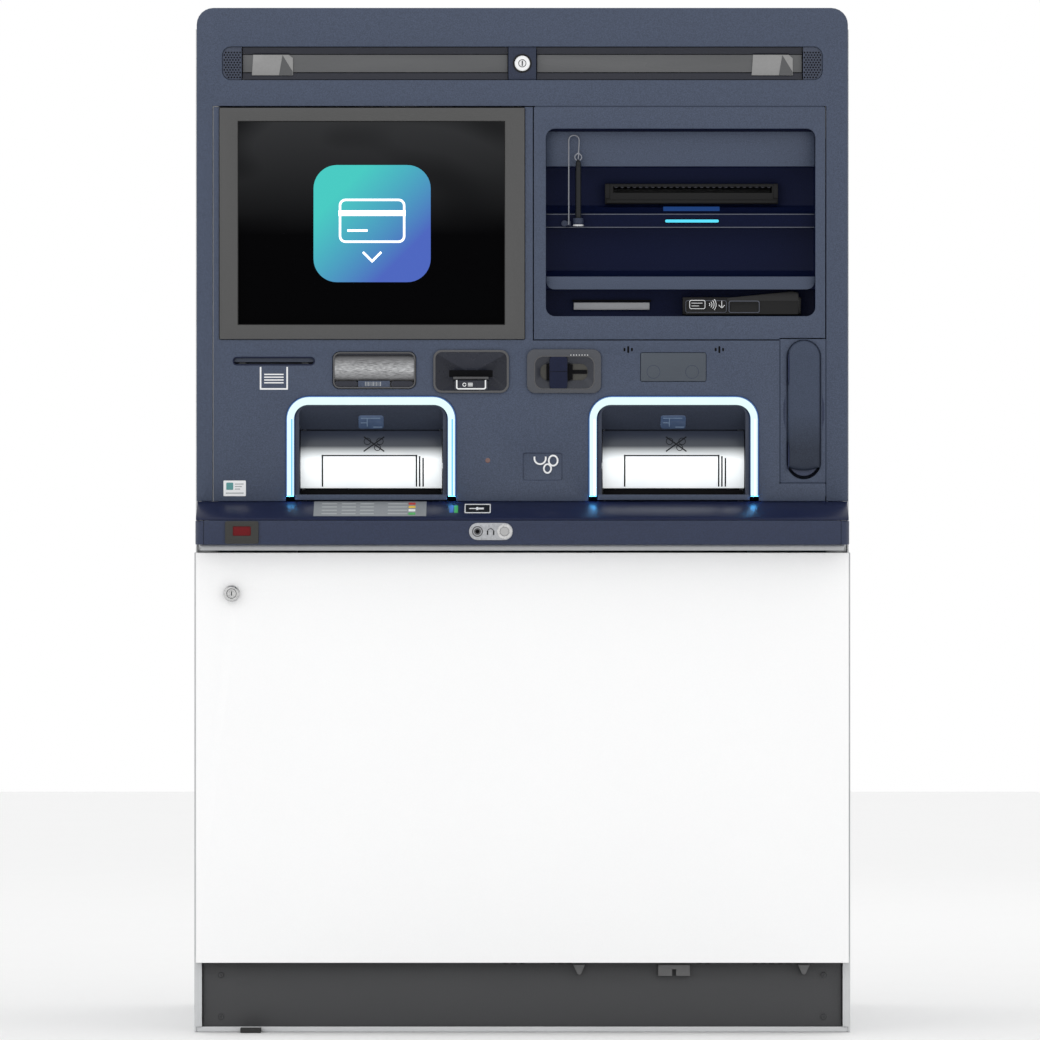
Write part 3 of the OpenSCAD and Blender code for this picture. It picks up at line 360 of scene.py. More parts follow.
class Finish:
    """Builds one procedural material from Object coordinates."""

    def __init__(self, name):
        self.material = bpy.data.materials.new(name + "_finish")
        self.material.use_nodes = True
        self.tree = self.material.node_tree
        self.shader = self.tree.nodes["Principled BSDF"]
        self.place = self.tree.nodes.new("ShaderNodeTexCoord").outputs["Object"]

    def stretched(self, scale):
        node = self.tree.nodes.new("ShaderNodeMapping")
        node.inputs["Scale"].default_value = scale
        self.tree.links.new(self.place, node.inputs["Vector"])
        return node.outputs["Vector"]

    def noise(self, scale, detail=2.0, vector=None):
        node = self.tree.nodes.new("ShaderNodeTexNoise")
        node.inputs["Scale"].default_value = scale
        node.inputs["Detail"].default_value = detail
        self.tree.links.new(vector or self.place, node.inputs["Vector"])
        return node.outputs["Fac"]

    def between(self, value, low, high, at=(0.3, 0.7)):
        """Maps a value to a range."""
        node = self.tree.nodes.new("ShaderNodeMapRange")
        node.inputs["From Min"].default_value = at[0]
        node.inputs["From Max"].default_value = at[1]
        node.inputs["To Min"].default_value = low
        node.inputs["To Max"].default_value = high
        self.tree.links.new(value, node.inputs["Value"])
        return node.outputs["Result"]

    def feed(self, socket, value):
        """Sets an input to a number or a colour, or links an output to it."""
        if isinstance(value, bpy.types.NodeSocket):
            self.tree.links.new(value, socket)
        else:
            socket.default_value = (*value, 1.0) if isinstance(value, tuple) else value

    def blend(self, factor, low, high):
        """Mixes two colours by a factor."""
        node = self.tree.nodes.new("ShaderNodeMix")
        node.data_type = "RGBA"
        self.feed(node.inputs["Factor"], factor)
        for name, value in (("A", low), ("B", high)):
            self.feed(next(i for i in node.inputs if i.name == name and i.type == "RGBA"), value)
        return next(o for o in node.outputs if o.type == "RGBA")

    def maths(self, operation, *values):
        """One step of arithmetic."""
        node = self.tree.nodes.new("ShaderNodeMath")
        node.operation = operation
        for socket, value in zip(node.inputs, values):
            self.feed(socket, value)
        return node.outputs[0]

    def height(self, part):
        """One coordinate of the point, in metres: part is X, Y or Z."""
        node = self.tree.nodes.new("ShaderNodeSeparateXYZ")
        self.tree.links.new(self.place, node.inputs["Vector"])
        return node.outputs[part]

    def bump(self, value, strength, distance):
        node = self.tree.nodes.new("ShaderNodeBump")
        node.inputs["Strength"].default_value = strength
        node.inputs["Distance"].default_value = distance
        self.tree.links.new(value, node.inputs["Height"])
        self.tree.links.new(node.outputs["Normal"], self.shader.inputs["Normal"])

    def use(self, socket, value):
        self.feed(self.shader.inputs[socket], value)


def shade(colour, share):
    return tuple(max(0.0, min(1.0, c * share)) for c in colour)


def plain_finish(name, colour, rough, speck, grain, relief, specular=0.5, cloud=0.05, relief_depth=0.0002,
                 coat=0.0, glow=0.0):
    """A moulded, painted or plated surface: speckle, slow drift in tone and a fine relief."""
    made = Finish(name)
    fine = made.noise(grain, 3.0)
    slow = made.noise(5.0, 3.0)
    base = made.blend(made.between(fine, 0, 1, (0.35, 0.65)), shade(colour, 1 - speck), shade(colour, 1 + speck))
    drift = made.blend(made.between(slow, 0, 1), shade(colour, 1 - cloud), shade(colour, 1 + cloud))
    made.use("Base Color", made.blend(0.4, base, drift))
    made.use("Roughness", made.between(slow, rough - 0.04, rough + 0.05))
    made.use("Coat Weight", coat)
    made.use("Specular IOR Level", specular)
    if glow:
        made.use("Emission Color", colour)
        made.use("Emission Strength", glow)
    made.bump(fine, relief, relief_depth)
    return made


def brushed_finish(name, colour, rough, along=(20.0, 400.0, 400.0)):
    """Metal with fine lines that run along one axis."""
    made = Finish(name)
    grain = made.noise(6.0, 4.0, made.stretched(along))
    made.use("Base Color", made.blend(made.between(grain, 0, 1), shade(colour, 0.82), shade(colour, 1.1)))
    made.use("Roughness", made.between(grain, rough - 0.08, rough + 0.1))
    made.use("Metallic", 1.0)
    made.bump(grain, 0.15, 0.0001)


def lit_finish(name, colour, strength, rough=0.3):
    """A lit diffuser with a slight unevenness behind it."""
    made = Finish(name)
    cloud = made.noise(60.0, 2.0)
    tone = made.blend(made.between(cloud, 0, 1), shade(colour, 0.96), shade(colour, 1.0))
    made.use("Base Color", shade(colour, 0.08))
    made.use("Emission Color", tone)
    made.use("Emission Strength", strength)
    made.use("Roughness", rough)
    made.use("Specular IOR Level", 0.2)


class MachineColours(bpy.types.PropertyGroup):
    """Colours of the machine's finishes."""

    fascia: bpy.props.FloatVectorProperty(
        name="Fascia", description="Speckled blue-grey moulding", subtype="COLOR", size=3,
        default=(0.053, 0.070, 0.114), min=0, max=1)
    navy: bpy.props.FloatVectorProperty(
        name="Navy", description="Dark moulding of the alcove and shelf", subtype="COLOR", size=3,
        default=(0.0045, 0.0080, 0.031), min=0, max=1)
    bumper: bpy.props.FloatVectorProperty(
        name="Bumper", description="Moulding of the bumper", subtype="COLOR", size=3,
        default=(0.022, 0.032, 0.070), min=0, max=1)
    door: bpy.props.FloatVectorProperty(
        name="Lower door", description="Powder coat of the lower door", subtype="COLOR", size=3,
        default=(0.985, 0.987, 0.99), min=0, max=1)
    sides: bpy.props.FloatVectorProperty(
        name="Cabinet sides", description="Powder coat of the sides, top and rear", subtype="COLOR", size=3,
        default=(0.60, 0.61, 0.62), min=0, max=1)
    plinth: bpy.props.FloatVectorProperty(
        name="Plinth", description="Powder coat of the plinth", subtype="COLOR", size=3,
        default=(0.045, 0.046, 0.049), min=0, max=1)
    light: bpy.props.FloatVectorProperty(
        name="Light bands", description="Colour of the lit bands", subtype="COLOR", size=3,
        default=(0.80, 1.0, 1.0), min=0, max=1)
    lamp: bpy.props.FloatVectorProperty(
        name="Lamps", description="Colour of the small guide lamps", subtype="COLOR", size=3,
        default=(0.08, 0.45, 1.0), min=0, max=1)


class MachineSizes(bpy.types.PropertyGroup):
    """Sizes that belong to the finish and not to the frame."""

    edge: bpy.props.FloatProperty(
        name="Edge rounding", description="Rounding of the fascia mouldings' edges, in millimetres",
        default=0.9, min=0.2, max=2.0)
    mark: bpy.props.FloatProperty(
        name="Mark width", description="Width of the printed lines, in millimetres",
        default=2.2, min=0.8, max=4.0)
    graphic: bpy.props.FloatProperty(
        name="Screen graphic", description="Width of the tile on the screen, in millimetres",
        default=168.0, min=60.0, max=240.0)


class StageSettings(bpy.types.PropertyGroup):
    """Camera and light."""

    distance: bpy.props.FloatProperty(
        name="Camera distance", description="Distance from the fascia to the camera", subtype="DISTANCE",
        default=14.0, min=4.0, max=40.0)
    view_width: bpy.props.FloatProperty(
        name="View width", description="Width that the picture takes in at the fascia", subtype="DISTANCE",
        default=1.4914, min=1.0, max=3.0)
    view_height: bpy.props.FloatProperty(
        name="View height", description="Height of the picture's middle above the floor", subtype="DISTANCE",
        default=0.7336, min=0.0, max=2.0)
    key: bpy.props.FloatProperty(
        name="Key light", description="Power of the large light at the upper left", default=13.0, min=0, max=2000)
    sky: bpy.props.FloatProperty(
        name="Surround light", description="Strength of the even white surround", default=1.0, min=0, max=4)


# Name, colour or the property that sets it, roughness, speckle, grain, relief, specular, and what else differs.
PLAIN_FINISHES = (
    ("fascia_paint", "fascia", 0.46, 0.34, 900, 0.25, 0.35, {"cloud": 0.03}),
    ("shelf_plastic", (0.0105, 0.0155, 0.048), 0.36, 0.4, 900, 0.2, 0.2, {"cloud": 0.06}),
    ("block_plastic", (0.022, 0.030, 0.057), 0.45, 0.35, 900, 0.2, 0.3),
    ("grille_plastic", (0.052, 0.063, 0.096), 0.45, 0.3, 900, 0.2, 0.3),
    ("cradle_plastic", (0.052, 0.064, 0.112), 0.46, 0.4, 900, 0.2, 0.3),
    ("plate_plastic", (0.064, 0.077, 0.097), 0.4, 0.1, 900, 0.1, 0.35),
    ("seam_filler", (0.030, 0.040, 0.068), 0.5, 0.2, 900, 0.1, 0.2),
    ("lip_navy", (0.016, 0.023, 0.062), 0.45, 0.3, 900, 0.2, 0.2),
    ("sticker_teal", (0.09, 0.30, 0.30), 0.5, 0.05, 1500, 0.05, 0.5),
    ("navy_plastic", "navy", 0.45, 0.35, 900, 0.2, 0.2, {"cloud": 0.08}),
    ("throat_plastic", (0.042, 0.051, 0.076), 0.45, 0.3, 900, 0.2, 0.25),
    ("edge_line", (0.09, 0.1, 0.13), 0.4, 0.1, 460, 0.05, 0.3),
    ("bumper_plastic", "bumper", 0.44, 0.4, 900, 0.25, 0.35, {"cloud": 0.04}),
    ("white_steel", "door", 0.33, 0.015, 700, 0.06, 0.5, {"cloud": 0.01}),
    ("side_steel", "sides", 0.38, 0.03, 700, 0.1, 0.5, {"cloud": 0.02}),
    ("plinth_steel", "plinth", 0.55, 0.4, 900, 0.3, 0.5, {"cloud": 0.06}),
    ("safe_steel", (0.16, 0.18, 0.2), 0.4, 0.12, 160, 0.5, 0.5, {"cloud": 0.08, "relief_depth": 0.0006}),
    ("black_plastic", (0.006, 0.006, 0.0065), 0.42, 0.3, 1200, 0.25, 0.25),
    ("grey_plastic", (0.125, 0.125, 0.127), 0.45, 0.1, 1100, 0.12, 0.3),
    ("smoke_plastic", (0.019, 0.021, 0.032), 0.26, 0.08, 500, 0.04, 0.35),
    ("smoke_rim", (0.082, 0.082, 0.086), 0.3, 0.08, 500, 0.04, 0.4),
    ("unit_plastic", (0.035, 0.038, 0.042), 0.5, 0.15, 900, 0.25, 0.5),
    ("clear_plastic", (0.55, 0.56, 0.58), 0.15, 0.04, 400, 0.03, 0.5, {"coat": 0.6}),
    ("white_ink", (0.86, 0.87, 0.88), 0.5, 0.02, 1500, 0.05, 0.5),
    ("pale_ink", (0.36, 0.38, 0.4), 0.55, 0.05, 1500, 0.05, 0.5),
    ("dark_ink", (0.008, 0.009, 0.012), 0.55, 0.1, 1500, 0.05, 0.2),
    ("label_film", (0.21, 0.225, 0.24), 0.4, 0.1, 900, 0.1, 0.5),
    ("rubber", (0.02, 0.02, 0.02), 0.75, 0.25, 700, 0.4, 0.5),
    ("red_window", (0.13, 0.002, 0.005), 0.2, 0.05, 300, 0.0, 0.2, {"glow": 0.02}),
    ("lens_blue", (0.07, 0.11, 0.2), 0.12, 0.1, 120, 0.0, 0.5, {"coat": 0.7}),
    ("gap_black", (0.003, 0.003, 0.004), 0.7, 0.2, 900, 0.1, 0.1),
    ("sensor_brown", (0.16, 0.08, 0.07), 0.3, 0.1, 500, 0.0, 0.5, {"coat": 0.5}),
    ("button_grey", (0.42, 0.42, 0.42), 0.35, 0.04, 900, 0.08, 0.5),
    ("pale_line", (0.4, 0.42, 0.43), 0.5, 0.05, 1500, 0.05, 0.5),
    ("window_pale", (0.25, 0.25, 0.25), 0.2, 0.04, 300, 0.0, 0.5, {"coat": 0.5}),
    ("window_dark", (0.06, 0.062, 0.066), 0.2, 0.04, 300, 0.0, 0.5, {"coat": 0.5}),
    ("white_plug", (0.88, 0.89, 0.90), 0.3, 0.03, 900, 0.05, 0.5),
    ("frame_grey", (0.080, 0.080, 0.080), 0.45, 0.1, 1100, 0.12, 0.3),
    ("hood_black", (0.015, 0.015, 0.0155), 0.38, 0.2, 1200, 0.2, 0.3),
    ("lens_glint", (0.20, 0.28, 0.40), 0.12, 0.1, 120, 0.0, 0.5, {"coat": 0.5}),
    ("pale_strip", (0.40, 0.41, 0.43), 0.3, 0.06, 700, 0.05, 0.5, {"coat": 0.3}),
    ("pen_black", (0.005, 0.006, 0.008), 0.3, 0.1, 700, 0.05, 0.3),
    ("brass_grey", (0.06, 0.058, 0.05), 0.35, 0.1, 700, 0.1, 0.3),
    ("frosted_rim", (0.062, 0.066, 0.078), 0.28, 0.08, 500, 0.04, 0.4),
    ("frosted_wall", (0.036, 0.039, 0.05), 0.28, 0.08, 500, 0.04, 0.3),
    ("loop_clear", (0.2, 0.21, 0.24), 0.25, 0.06, 400, 0.03, 0.5, {"coat": 0.3}),
    ("scanner_frame_grey", (0.020, 0.020, 0.017), 0.4, 0.1, 900, 0.1, 0.5),
    ("screen_ink", (0.85, 0.88, 0.9), 0.4, 0.01, 900, 0.0, 0.5, {"glow": 0.9}),
    ("ink_red", (0.5, 0.03, 0.02), 0.5, 0.05, 1500, 0.05, 0.5),
    ("ink_yellow", (0.75, 0.5, 0.03), 0.5, 0.05, 1500, 0.05, 0.5),
    ("ink_green", (0.05, 0.42, 0.08), 0.5, 0.05, 1500, 0.05, 0.5),
    ("ink_blue", (0.03, 0.09, 0.4), 0.5, 0.05, 1500, 0.05, 0.5),
)


class FINISH_OT_materials(bpy.types.Operator):
    """Makes every finish of the machine"""

    bl_idname = "machine.finishes"
    bl_label = "Finishes"

    def execute(self, context):
        c = context.scene.machine_colours
        for name, colour, rough, speck, grain, relief, specular, *rest in PLAIN_FINISHES:
            if isinstance(colour, str):
                colour = tuple(getattr(c, colour))
            plain_finish(name, colour, rough, speck, grain, relief, specular, **dict(*rest))
        brushed_finish("bare_steel", (0.45, 0.46, 0.47), 0.36)
        brushed_finish("nickel", (0.62, 0.62, 0.62), 0.3, along=(60.0, 60.0, 60.0))
        brushed_finish("audio_grey", (0.45, 0.46, 0.48), 0.34, along=(60.0, 60.0, 60.0))
        lit_finish("band_light", tuple(c.light), 0.96)
        lit_finish("band_edge", (0.10, 0.62, 0.98), 0.95)
        lit_finish("band_rim", (0.07, 0.17, 0.45), 0.9)
        lit_finish("lamp_light", (0.10, 0.72, 0.95), 1.0)
        lit_finish("guide_glow", tuple(c.lamp), 22.0)
        lit_finish("slot_glow", (0.018, 0.065, 0.24), 0.75)
        self.screen()
        self.shutter()
        self.handset(tuple(c.fascia))
        self.liner()
        self.funnel()
        self.lens()
        self.diffuser()
        self.tile()
        return {"FINISHED"}

    def handset(self, colour):
        """The handset's moulding, which turns away towards its foot, with painted shade that deepens its tone there.
        """
        made = Finish("handset_paint")
        foot = Extent("handset").z0
        fine = made.noise(900.0, 3.0)
        # Painted shade: the tone runs from dark at the foot up to the full fascia colour higher up.
        run = made.between(made.height("Z"), 0.0, 1.0, ((foot + 30) * MM, (foot + 85) * MM))
        tone = made.blend(run, shade(colour, 0.56), colour)
        dark = made.blend(run, shade(colour, 0.34), shade(colour, 0.70))
        made.use("Base Color", made.blend(made.between(fine, 0, 1, (0.35, 0.65)), dark, tone))
        made.use("Roughness", made.between(made.noise(5.0, 3.0), 0.46, 0.54))
        made.use("Specular IOR Level", 0.25)
        made.bump(fine, 0.25, 0.0002)

    def liner(self):
        """Alcove moulding with painted shade: darker on the front of its rib than on the walls behind it."""
        made = Finish("liner_plastic")
        fine = made.noise(620.0, 3.0)
        front, deep = (FACE_Y + 30) * MM, (FACE_Y + 62) * MM
        # Painted shade: the navy is set by depth, darker at the front of the alcove and lighter on the walls behind.
        run = made.between(made.height("Y"), 0.0, 1.0, (front, deep))
        tone = made.blend(run, (0.0028, 0.0058, 0.028), (0.0085, 0.0135, 0.052))
        dark = made.blend(run, (0.0018, 0.0040, 0.020), (0.0060, 0.0100, 0.040))
        made.use("Base Color", made.blend(made.between(fine, 0, 1, (0.35, 0.65)), dark, tone))
        made.use("Roughness", made.between(made.noise(5.0, 3.0), 0.42, 0.5))
        made.use("Specular IOR Level", 0.08)
        made.bump(fine, 0.2, 0.0002)

    def funnel(self):
        """Smoked plastic with painted shade: its side faces are painted deeper in tone than the face over the slot,
        and the face under the slot deepest of all.
        """
        made = Finish("funnel_plastic")
        box = Extent("card_mouth")
        slot_z = box.z - 3
        reach = [made.maths("DIVIDE", made.maths("ABSOLUTE", made.maths("SUBTRACT", made.height(axis), centre * MM)),
                          half * MM)
                 for axis, centre, half in (("X", box.x, box.x1 - box.x), ("Z", slot_z, box.z1 - box.z))]
        side = made.between(made.maths("SUBTRACT", *reach), 0.0, 1.0, (-0.02, 0.02))
        over = made.between(made.height("Z"), 0.0, 1.0, (slot_z * MM, (slot_z + 2) * MM))
        # Painted shade: each face of the funnel gets its own tone, as light would fall on it.
        ends = made.blend(over, (0.006, 0.008, 0.018), (0.024, 0.027, 0.040))
        tone = made.blend(side, ends, (0.011, 0.013, 0.022))
        made.use("Base Color", tone)
        made.use("Roughness", made.between(made.noise(60.0, 2.0), 0.24, 0.32))
        made.use("Specular IOR Level", 0.3)

    def lens(self):
        """A ribbed silver lens with a painted highlight: a bright streak painted over its crown and painted shade in
        darker bands above and below it.
        """
        made = Finish("brushed_lens")
        box = Extent("code_scanner")
        grain = made.noise(6.0, 4.0, made.stretched((25.0, 300.0, 300.0)))
        # Painted highlight and shade: the colour runs dark, bright at the crown, then dark again up the lens.
        low, crown, high = (v * MM for v in (box.z0 + 11, box.z0 + 28, box.z0 + 46))
        rise = made.blend(made.between(made.height("Z"), 0.0, 1.0, (low, crown)), (0.12, 0.12, 0.125),
                          (0.72, 0.73, 0.74))
        fall = made.blend(made.between(made.height("Z"), 0.0, 1.0, (crown, high)), rise, (0.045, 0.045, 0.05))
        made.use("Base Color", made.blend(made.between(grain, 0, 1), (0.10, 0.10, 0.105), fall))
        made.use("Roughness", made.between(grain, 0.28, 0.46))
        made.use("Metallic", 0.2)
        made.bump(grain, 0.15, 0.0001)

    def shutter(self):
        """Milky plastic that is lit from below: dark at its top edge and glowing at its foot."""
        made = Finish("shutter_plastic")
        cash = Extent("left_shutter")
        low, high = cash.z0 * MM, cash.z1 * MM
        tall = high - low
        foot = made.between(made.height("Z"), 0.0, 1.0, (low + 0.50 * tall, low + 0.73 * tall))
        head = made.between(made.height("Z"), 0.0, 1.0, (low + 0.70 * tall, low + 0.93 * tall))
        cloud = made.noise(25.0, 2.0)
        pale = made.blend(made.between(cloud, 0, 1), (0.90, 0.95, 0.97), (0.97, 1.0, 1.0))
        grey = made.blend(foot, pale, (0.046, 0.052, 0.062))
        tone = made.blend(head, grey, (0.024, 0.029, 0.044))
        made.use("Base Color", tone)
        made.use("Roughness", 0.3)
        made.use("Specular IOR Level", 0.35)
        made.use("Emission Color", tone)
        made.use("Emission Strength", 0.4)

    def screen(self):
        """Black glass with a faint haze of backlight towards its upper corners."""
        made = Finish("screen_glass")
        low, high = SCREEN.z0 * MM, SCREEN.z1 * MM
        rise = made.between(made.height("Z"), 0.0, 1.0, (low + 0.45 * (high - low), high))
        cloud = made.noise(4.0, 1.0, made.stretched((1.0, 1.0, 2.0)))
        haze = made.blend(made.between(cloud, 0, 1, (0.4, 0.62)), (0.0, 0.0, 0.0), (0.035, 0.036, 0.038))
        made.use("Base Color", (0.0012, 0.0012, 0.0015))
        made.use("Emission Color", made.blend(rise, (0.0, 0.0, 0.0), haze))
        made.use("Emission Strength", 1.0)
        made.use("Roughness", made.between(made.noise(30.0, 2.0), 0.08, 0.14))
        made.use("Specular IOR Level", 0.012)

    def diffuser(self):
        made = Finish("diffuser_plastic")
        cloud = made.noise(9.0, 2.0, made.stretched((0.4, 1.0, 4.0)))
        made.use("Base Color", made.blend(made.between(cloud, 0, 1), (0.100, 0.102, 0.106), (0.120, 0.122, 0.126)))
        made.use("Roughness", made.between(cloud, 0.2, 0.32))
        made.use("Specular IOR Level", 0.3)

    def tile(self):
        """A plain welcome tile that drifts from teal to deep blue."""
        made = Finish("screen_tile")
        half = 0.09
        cx, cz = SCREEN.x * MM, SCREEN.z * MM
        slope = made.maths("SUBTRACT", made.height("X"), made.height("Z"))
        run = made.between(slope, 0, 1, (cx - cz - half, cx - cz + half))
        tone = made.blend(run, (0.02, 0.55, 0.50), (0.03, 0.09, 0.48))
        made.use("Base Color", (0.01, 0.01, 0.01))
        made.use("Emission Color", tone)
        made.use("Emission Strength", 1.0)
        made.use("Roughness", 0.2)


# ---- Fascia ----


class FASCIA_OT_shells(bpy.types.Operator):
    """Rounds and finishes the fascia's mouldings, the shelf and the bumper"""

    bl_idname = "machine.shells"
    bl_label = "Fascia mouldings"

    def execute(self, context):
        edge = context.scene.machine_sizes.edge
        for node, share, material in (
                ("fascia_header", 1.0, None), ("main_panel", 0.7, None), ("alcove_panel", 0.7, None),
                ("handset_panel", 0.7, None), ("blank_plate", 0.7, "plate_plastic"),
                ("lock_block", 0.7, "block_plastic"), ("handset_cradle", 0.6, "cradle_plastic")):
            refined(node, edge * share, material)
        refined("shelf", 0.8, "shelf_plastic", segments=3)
        refined("bumper", 1.6, segments=3)
        refined("fascia_frame", 0.6)
        refined("screen_frame", 0.7, "frame_grey")
        self.seams()
        return {"FINISHED"}

    def seams(self):
        """Fillers behind the faint joints round the alcove and handset panels."""
        alcove, phone = Extent("alcove_panel"), Extent("handset_panel")
        bm = bmesh.new()
        depth = (FACE_Y + 0.25, FACE_Y + 4)
        block(bm, (alcove.x0 + 2, alcove.x1 - 2), depth, (alcove.z1 - 0.5, alcove.z1 + 2.4))
        block(bm, (phone.x0 - 2, phone.x0 + 0.5), depth, (phone.z0 - 1.5, phone.z1))
        block(bm, (phone.x1 - 0.5, phone.x1 + 2), depth, (phone.z0 - 20, phone.z1))
        block(bm, (phone.x0 - 2, phone.x1 + 1), depth, (phone.z0 - 2.2, phone.z0 + 0.5))
        piece("panel_seam_fillers", bm, "fascia", "seam_filler")


class FASCIA_OT_header(bpy.types.Operator):
    """Adds the header's light covers, perforated speaker grilles and lock"""

    bl_idname = "machine.header"
    bl_label = "Header lights"

    def execute(self, context):
        grilles = Extent("speaker_grilles")
        self.covers(Extent("header_light"), Extent("lock_block"), grilles.z0, grilles.z1)
        self.grilles(grilles)
        self.lock()
        refined("header_light", 0.4, "smoke_plastic")
        refined("speaker_grilles", 0.4, "grille_plastic")
        return {"FINISHED"}

    def covers(self, tray, lock_block, z0, z1):
        """Each cover: a diffuser between two sloping reflectors, with a small window near its outer end."""
        back, front = FACE_Y + 6.5, FACE_Y + 5
        low, high = z0 + 11, z1 - 11
        window = (329, 388)
        for side, name in ((-1, "left"), (1, "right")):
            x = sorted((side * (lock_block.x1 + 1.0), side * (tray.x1 - 1.0)))
            bm = bmesh.new()
            block(bm, x, (back + 1, back + 4), (low, high), soft=0.6)
            piece(f"header_diffuser_{name}", bm, "fascia", "diffuser_plastic")
            bm = bmesh.new()
            for (a, near), (b, far) in (((z0 + 0.6, front), (low - 0.8, front + 4)),
                                        ((high + 0.8, front + 4), (z1 - 0.6, front))):
                prism(bm, [(near, a), (far, b), (far + 2, b), (near + 2, a)], x, along="X")
            piece(f"header_reflector_{name}", bm, "fascia", "smoke_plastic")
            bm = bmesh.new()
            a, b = sorted(side * reach for reach in window)
            quad = [(a, low - 4.5), (b, low - 4.5), (b, high - 5), (b - 6, high), (a + 2, high)]
            prism(bm, quad, (back - 0.6, back + 0.6), soft=0.2)
            piece(f"header_window_{name}", bm, "fascia", "window_pale")
            bm = bmesh.new()
            facet = [(b - 20, low - 4.2), (b - 0.5, low - 4.2), (b - 0.5, low + 1), (b - 15, high - 0.5)]
            prism(bm, facet, (back - 0.9, back - 0.5))
            piece(f"header_window_facet_{name}", bm, "fascia", "window_dark")

    def grilles(self, box):
        """Rows of small round holes, set out in a staggered pattern inside the rounded end."""
        bm = bmesh.new()
        pitch, hole, end_r = 4.1, 1.35, 13.0
        rise, columns = pitch * 0.87, 7
        inner_x = box.x1 - 28
        for row in range(int((box.z1 - box.z0 - 5) / rise)):
            z = box.z0 + 3.4 + row * rise
            for column in range(columns):
                x = inner_x + 2.6 + (column + 0.5 * (row % 2)) * pitch
                over = max(0.0, box.z0 + end_r - z, z - (box.z1 - end_r))
                limit = box.x1 - end_r + math.sqrt(max(0.0, (end_r - 2.4) ** 2 - over ** 2))
                if x > limit or over > end_r - 2.4:
                    continue
                for side in (-1, 1):
                    rod(bm, (side * x, z), "Y", hole, box.y0 - 0.15, box.y0 + 0.4, steps=6)
        piece("speaker_holes", bm, "fascia", "gap_black")

    def lock(self):
        box = Extent("fascia_lock")
        centre = (0, Extent("lock_block").z)
        r = box.x1
        bm = bmesh.new()
        turned(bm, [(0, box.y1 - 4), (0, box.y0 + 0.6), (r * 0.42, box.y0 + 0.6), (r * 0.46, box.y0),
                    (r * 0.9, box.y0), (r, box.y0 + 1.0), (r, box.y1 - 4)][::-1], centre)
        block(bm, (-7, 7), (box.y1 - 3, box.y1), (box.z0, centre[1] + 7), corner=3, soft=0.4)
        piece("fascia_lock_plug", bm, "fascia_lock", "white_plug", replaces=("fascia_lock",))
        bm = bmesh.new()
        ring(bm, centre, r * 0.52, r * 0.44, box.y0 - 0.1, box.y0 + 0.5)
        block(bm, (-0.7, 0.7), (box.y0 - 0.1, box.y0 + 0.8), (centre[1] - 3.4, centre[1] + 3.4))
        piece("fascia_lock_keyway", bm, "fascia_lock", "dark_ink")
        bm = bmesh.new()
        ring(bm, centre, r + 2.4, r + 0.15, FACE_Y + 1.2, FACE_Y + 3)
        piece("fascia_lock_collar", bm, "fascia", "black_plastic")


class FASCIA_OT_screen(bpy.types.Operator):
    """Adds the display, its bezel lip and a plain welcome tile"""

    bl_idname = "machine.screen"
    bl_label = "Screen"

    def execute(self, context):
        size = context.scene.machine_sizes.graphic
        refined("display_panel", 0.5, "screen_glass")
        glass = Extent("display_panel").y0
        cx, cz = SCREEN.x, SCREEN.z
        bm = bmesh.new()
        block(bm, (cx - size / 2, cx + size / 2), (glass - 0.3, glass + 0.2), (cz - size / 2, cz + size / 2),
              corner=size * 0.2, corner_steps=10)
        piece("welcome_tile", bm, "fascia", "screen_tile")
        y = glass - 0.3
        bm = bmesh.new()
        stroke = 3.2
        lines(bm, round_outline(cx - 46, cx + 46, cz - 26, cz + 34, 8), stroke, y, closed=True)
        line(bm, (cx - 44, cz + 15), (cx + 44, cz + 15), stroke * 2.5, y)
        line(bm, (cx - 34, cz - 10), (cx - 8, cz - 10), stroke, y)
        lines(bm, [(cx - 12, cz - 42), (cx, cz - 54), (cx + 12, cz - 42)], stroke, y)
        piece("welcome_card_mark", bm, "fascia", "screen_ink")
        bm = bmesh.new()
        rim(bm, (SCREEN.x0 + 26, SCREEN.x1 - 28), (SCREEN.z0 + 20.5, SCREEN.z1 - 19), (-1.5, 1.2), (2, 1.2),
            (FACE_Y + 1.2, FACE_Y + 3))
        piece("screen_lip", bm, "fascia", "black_plastic")
        return {"FINISHED"}


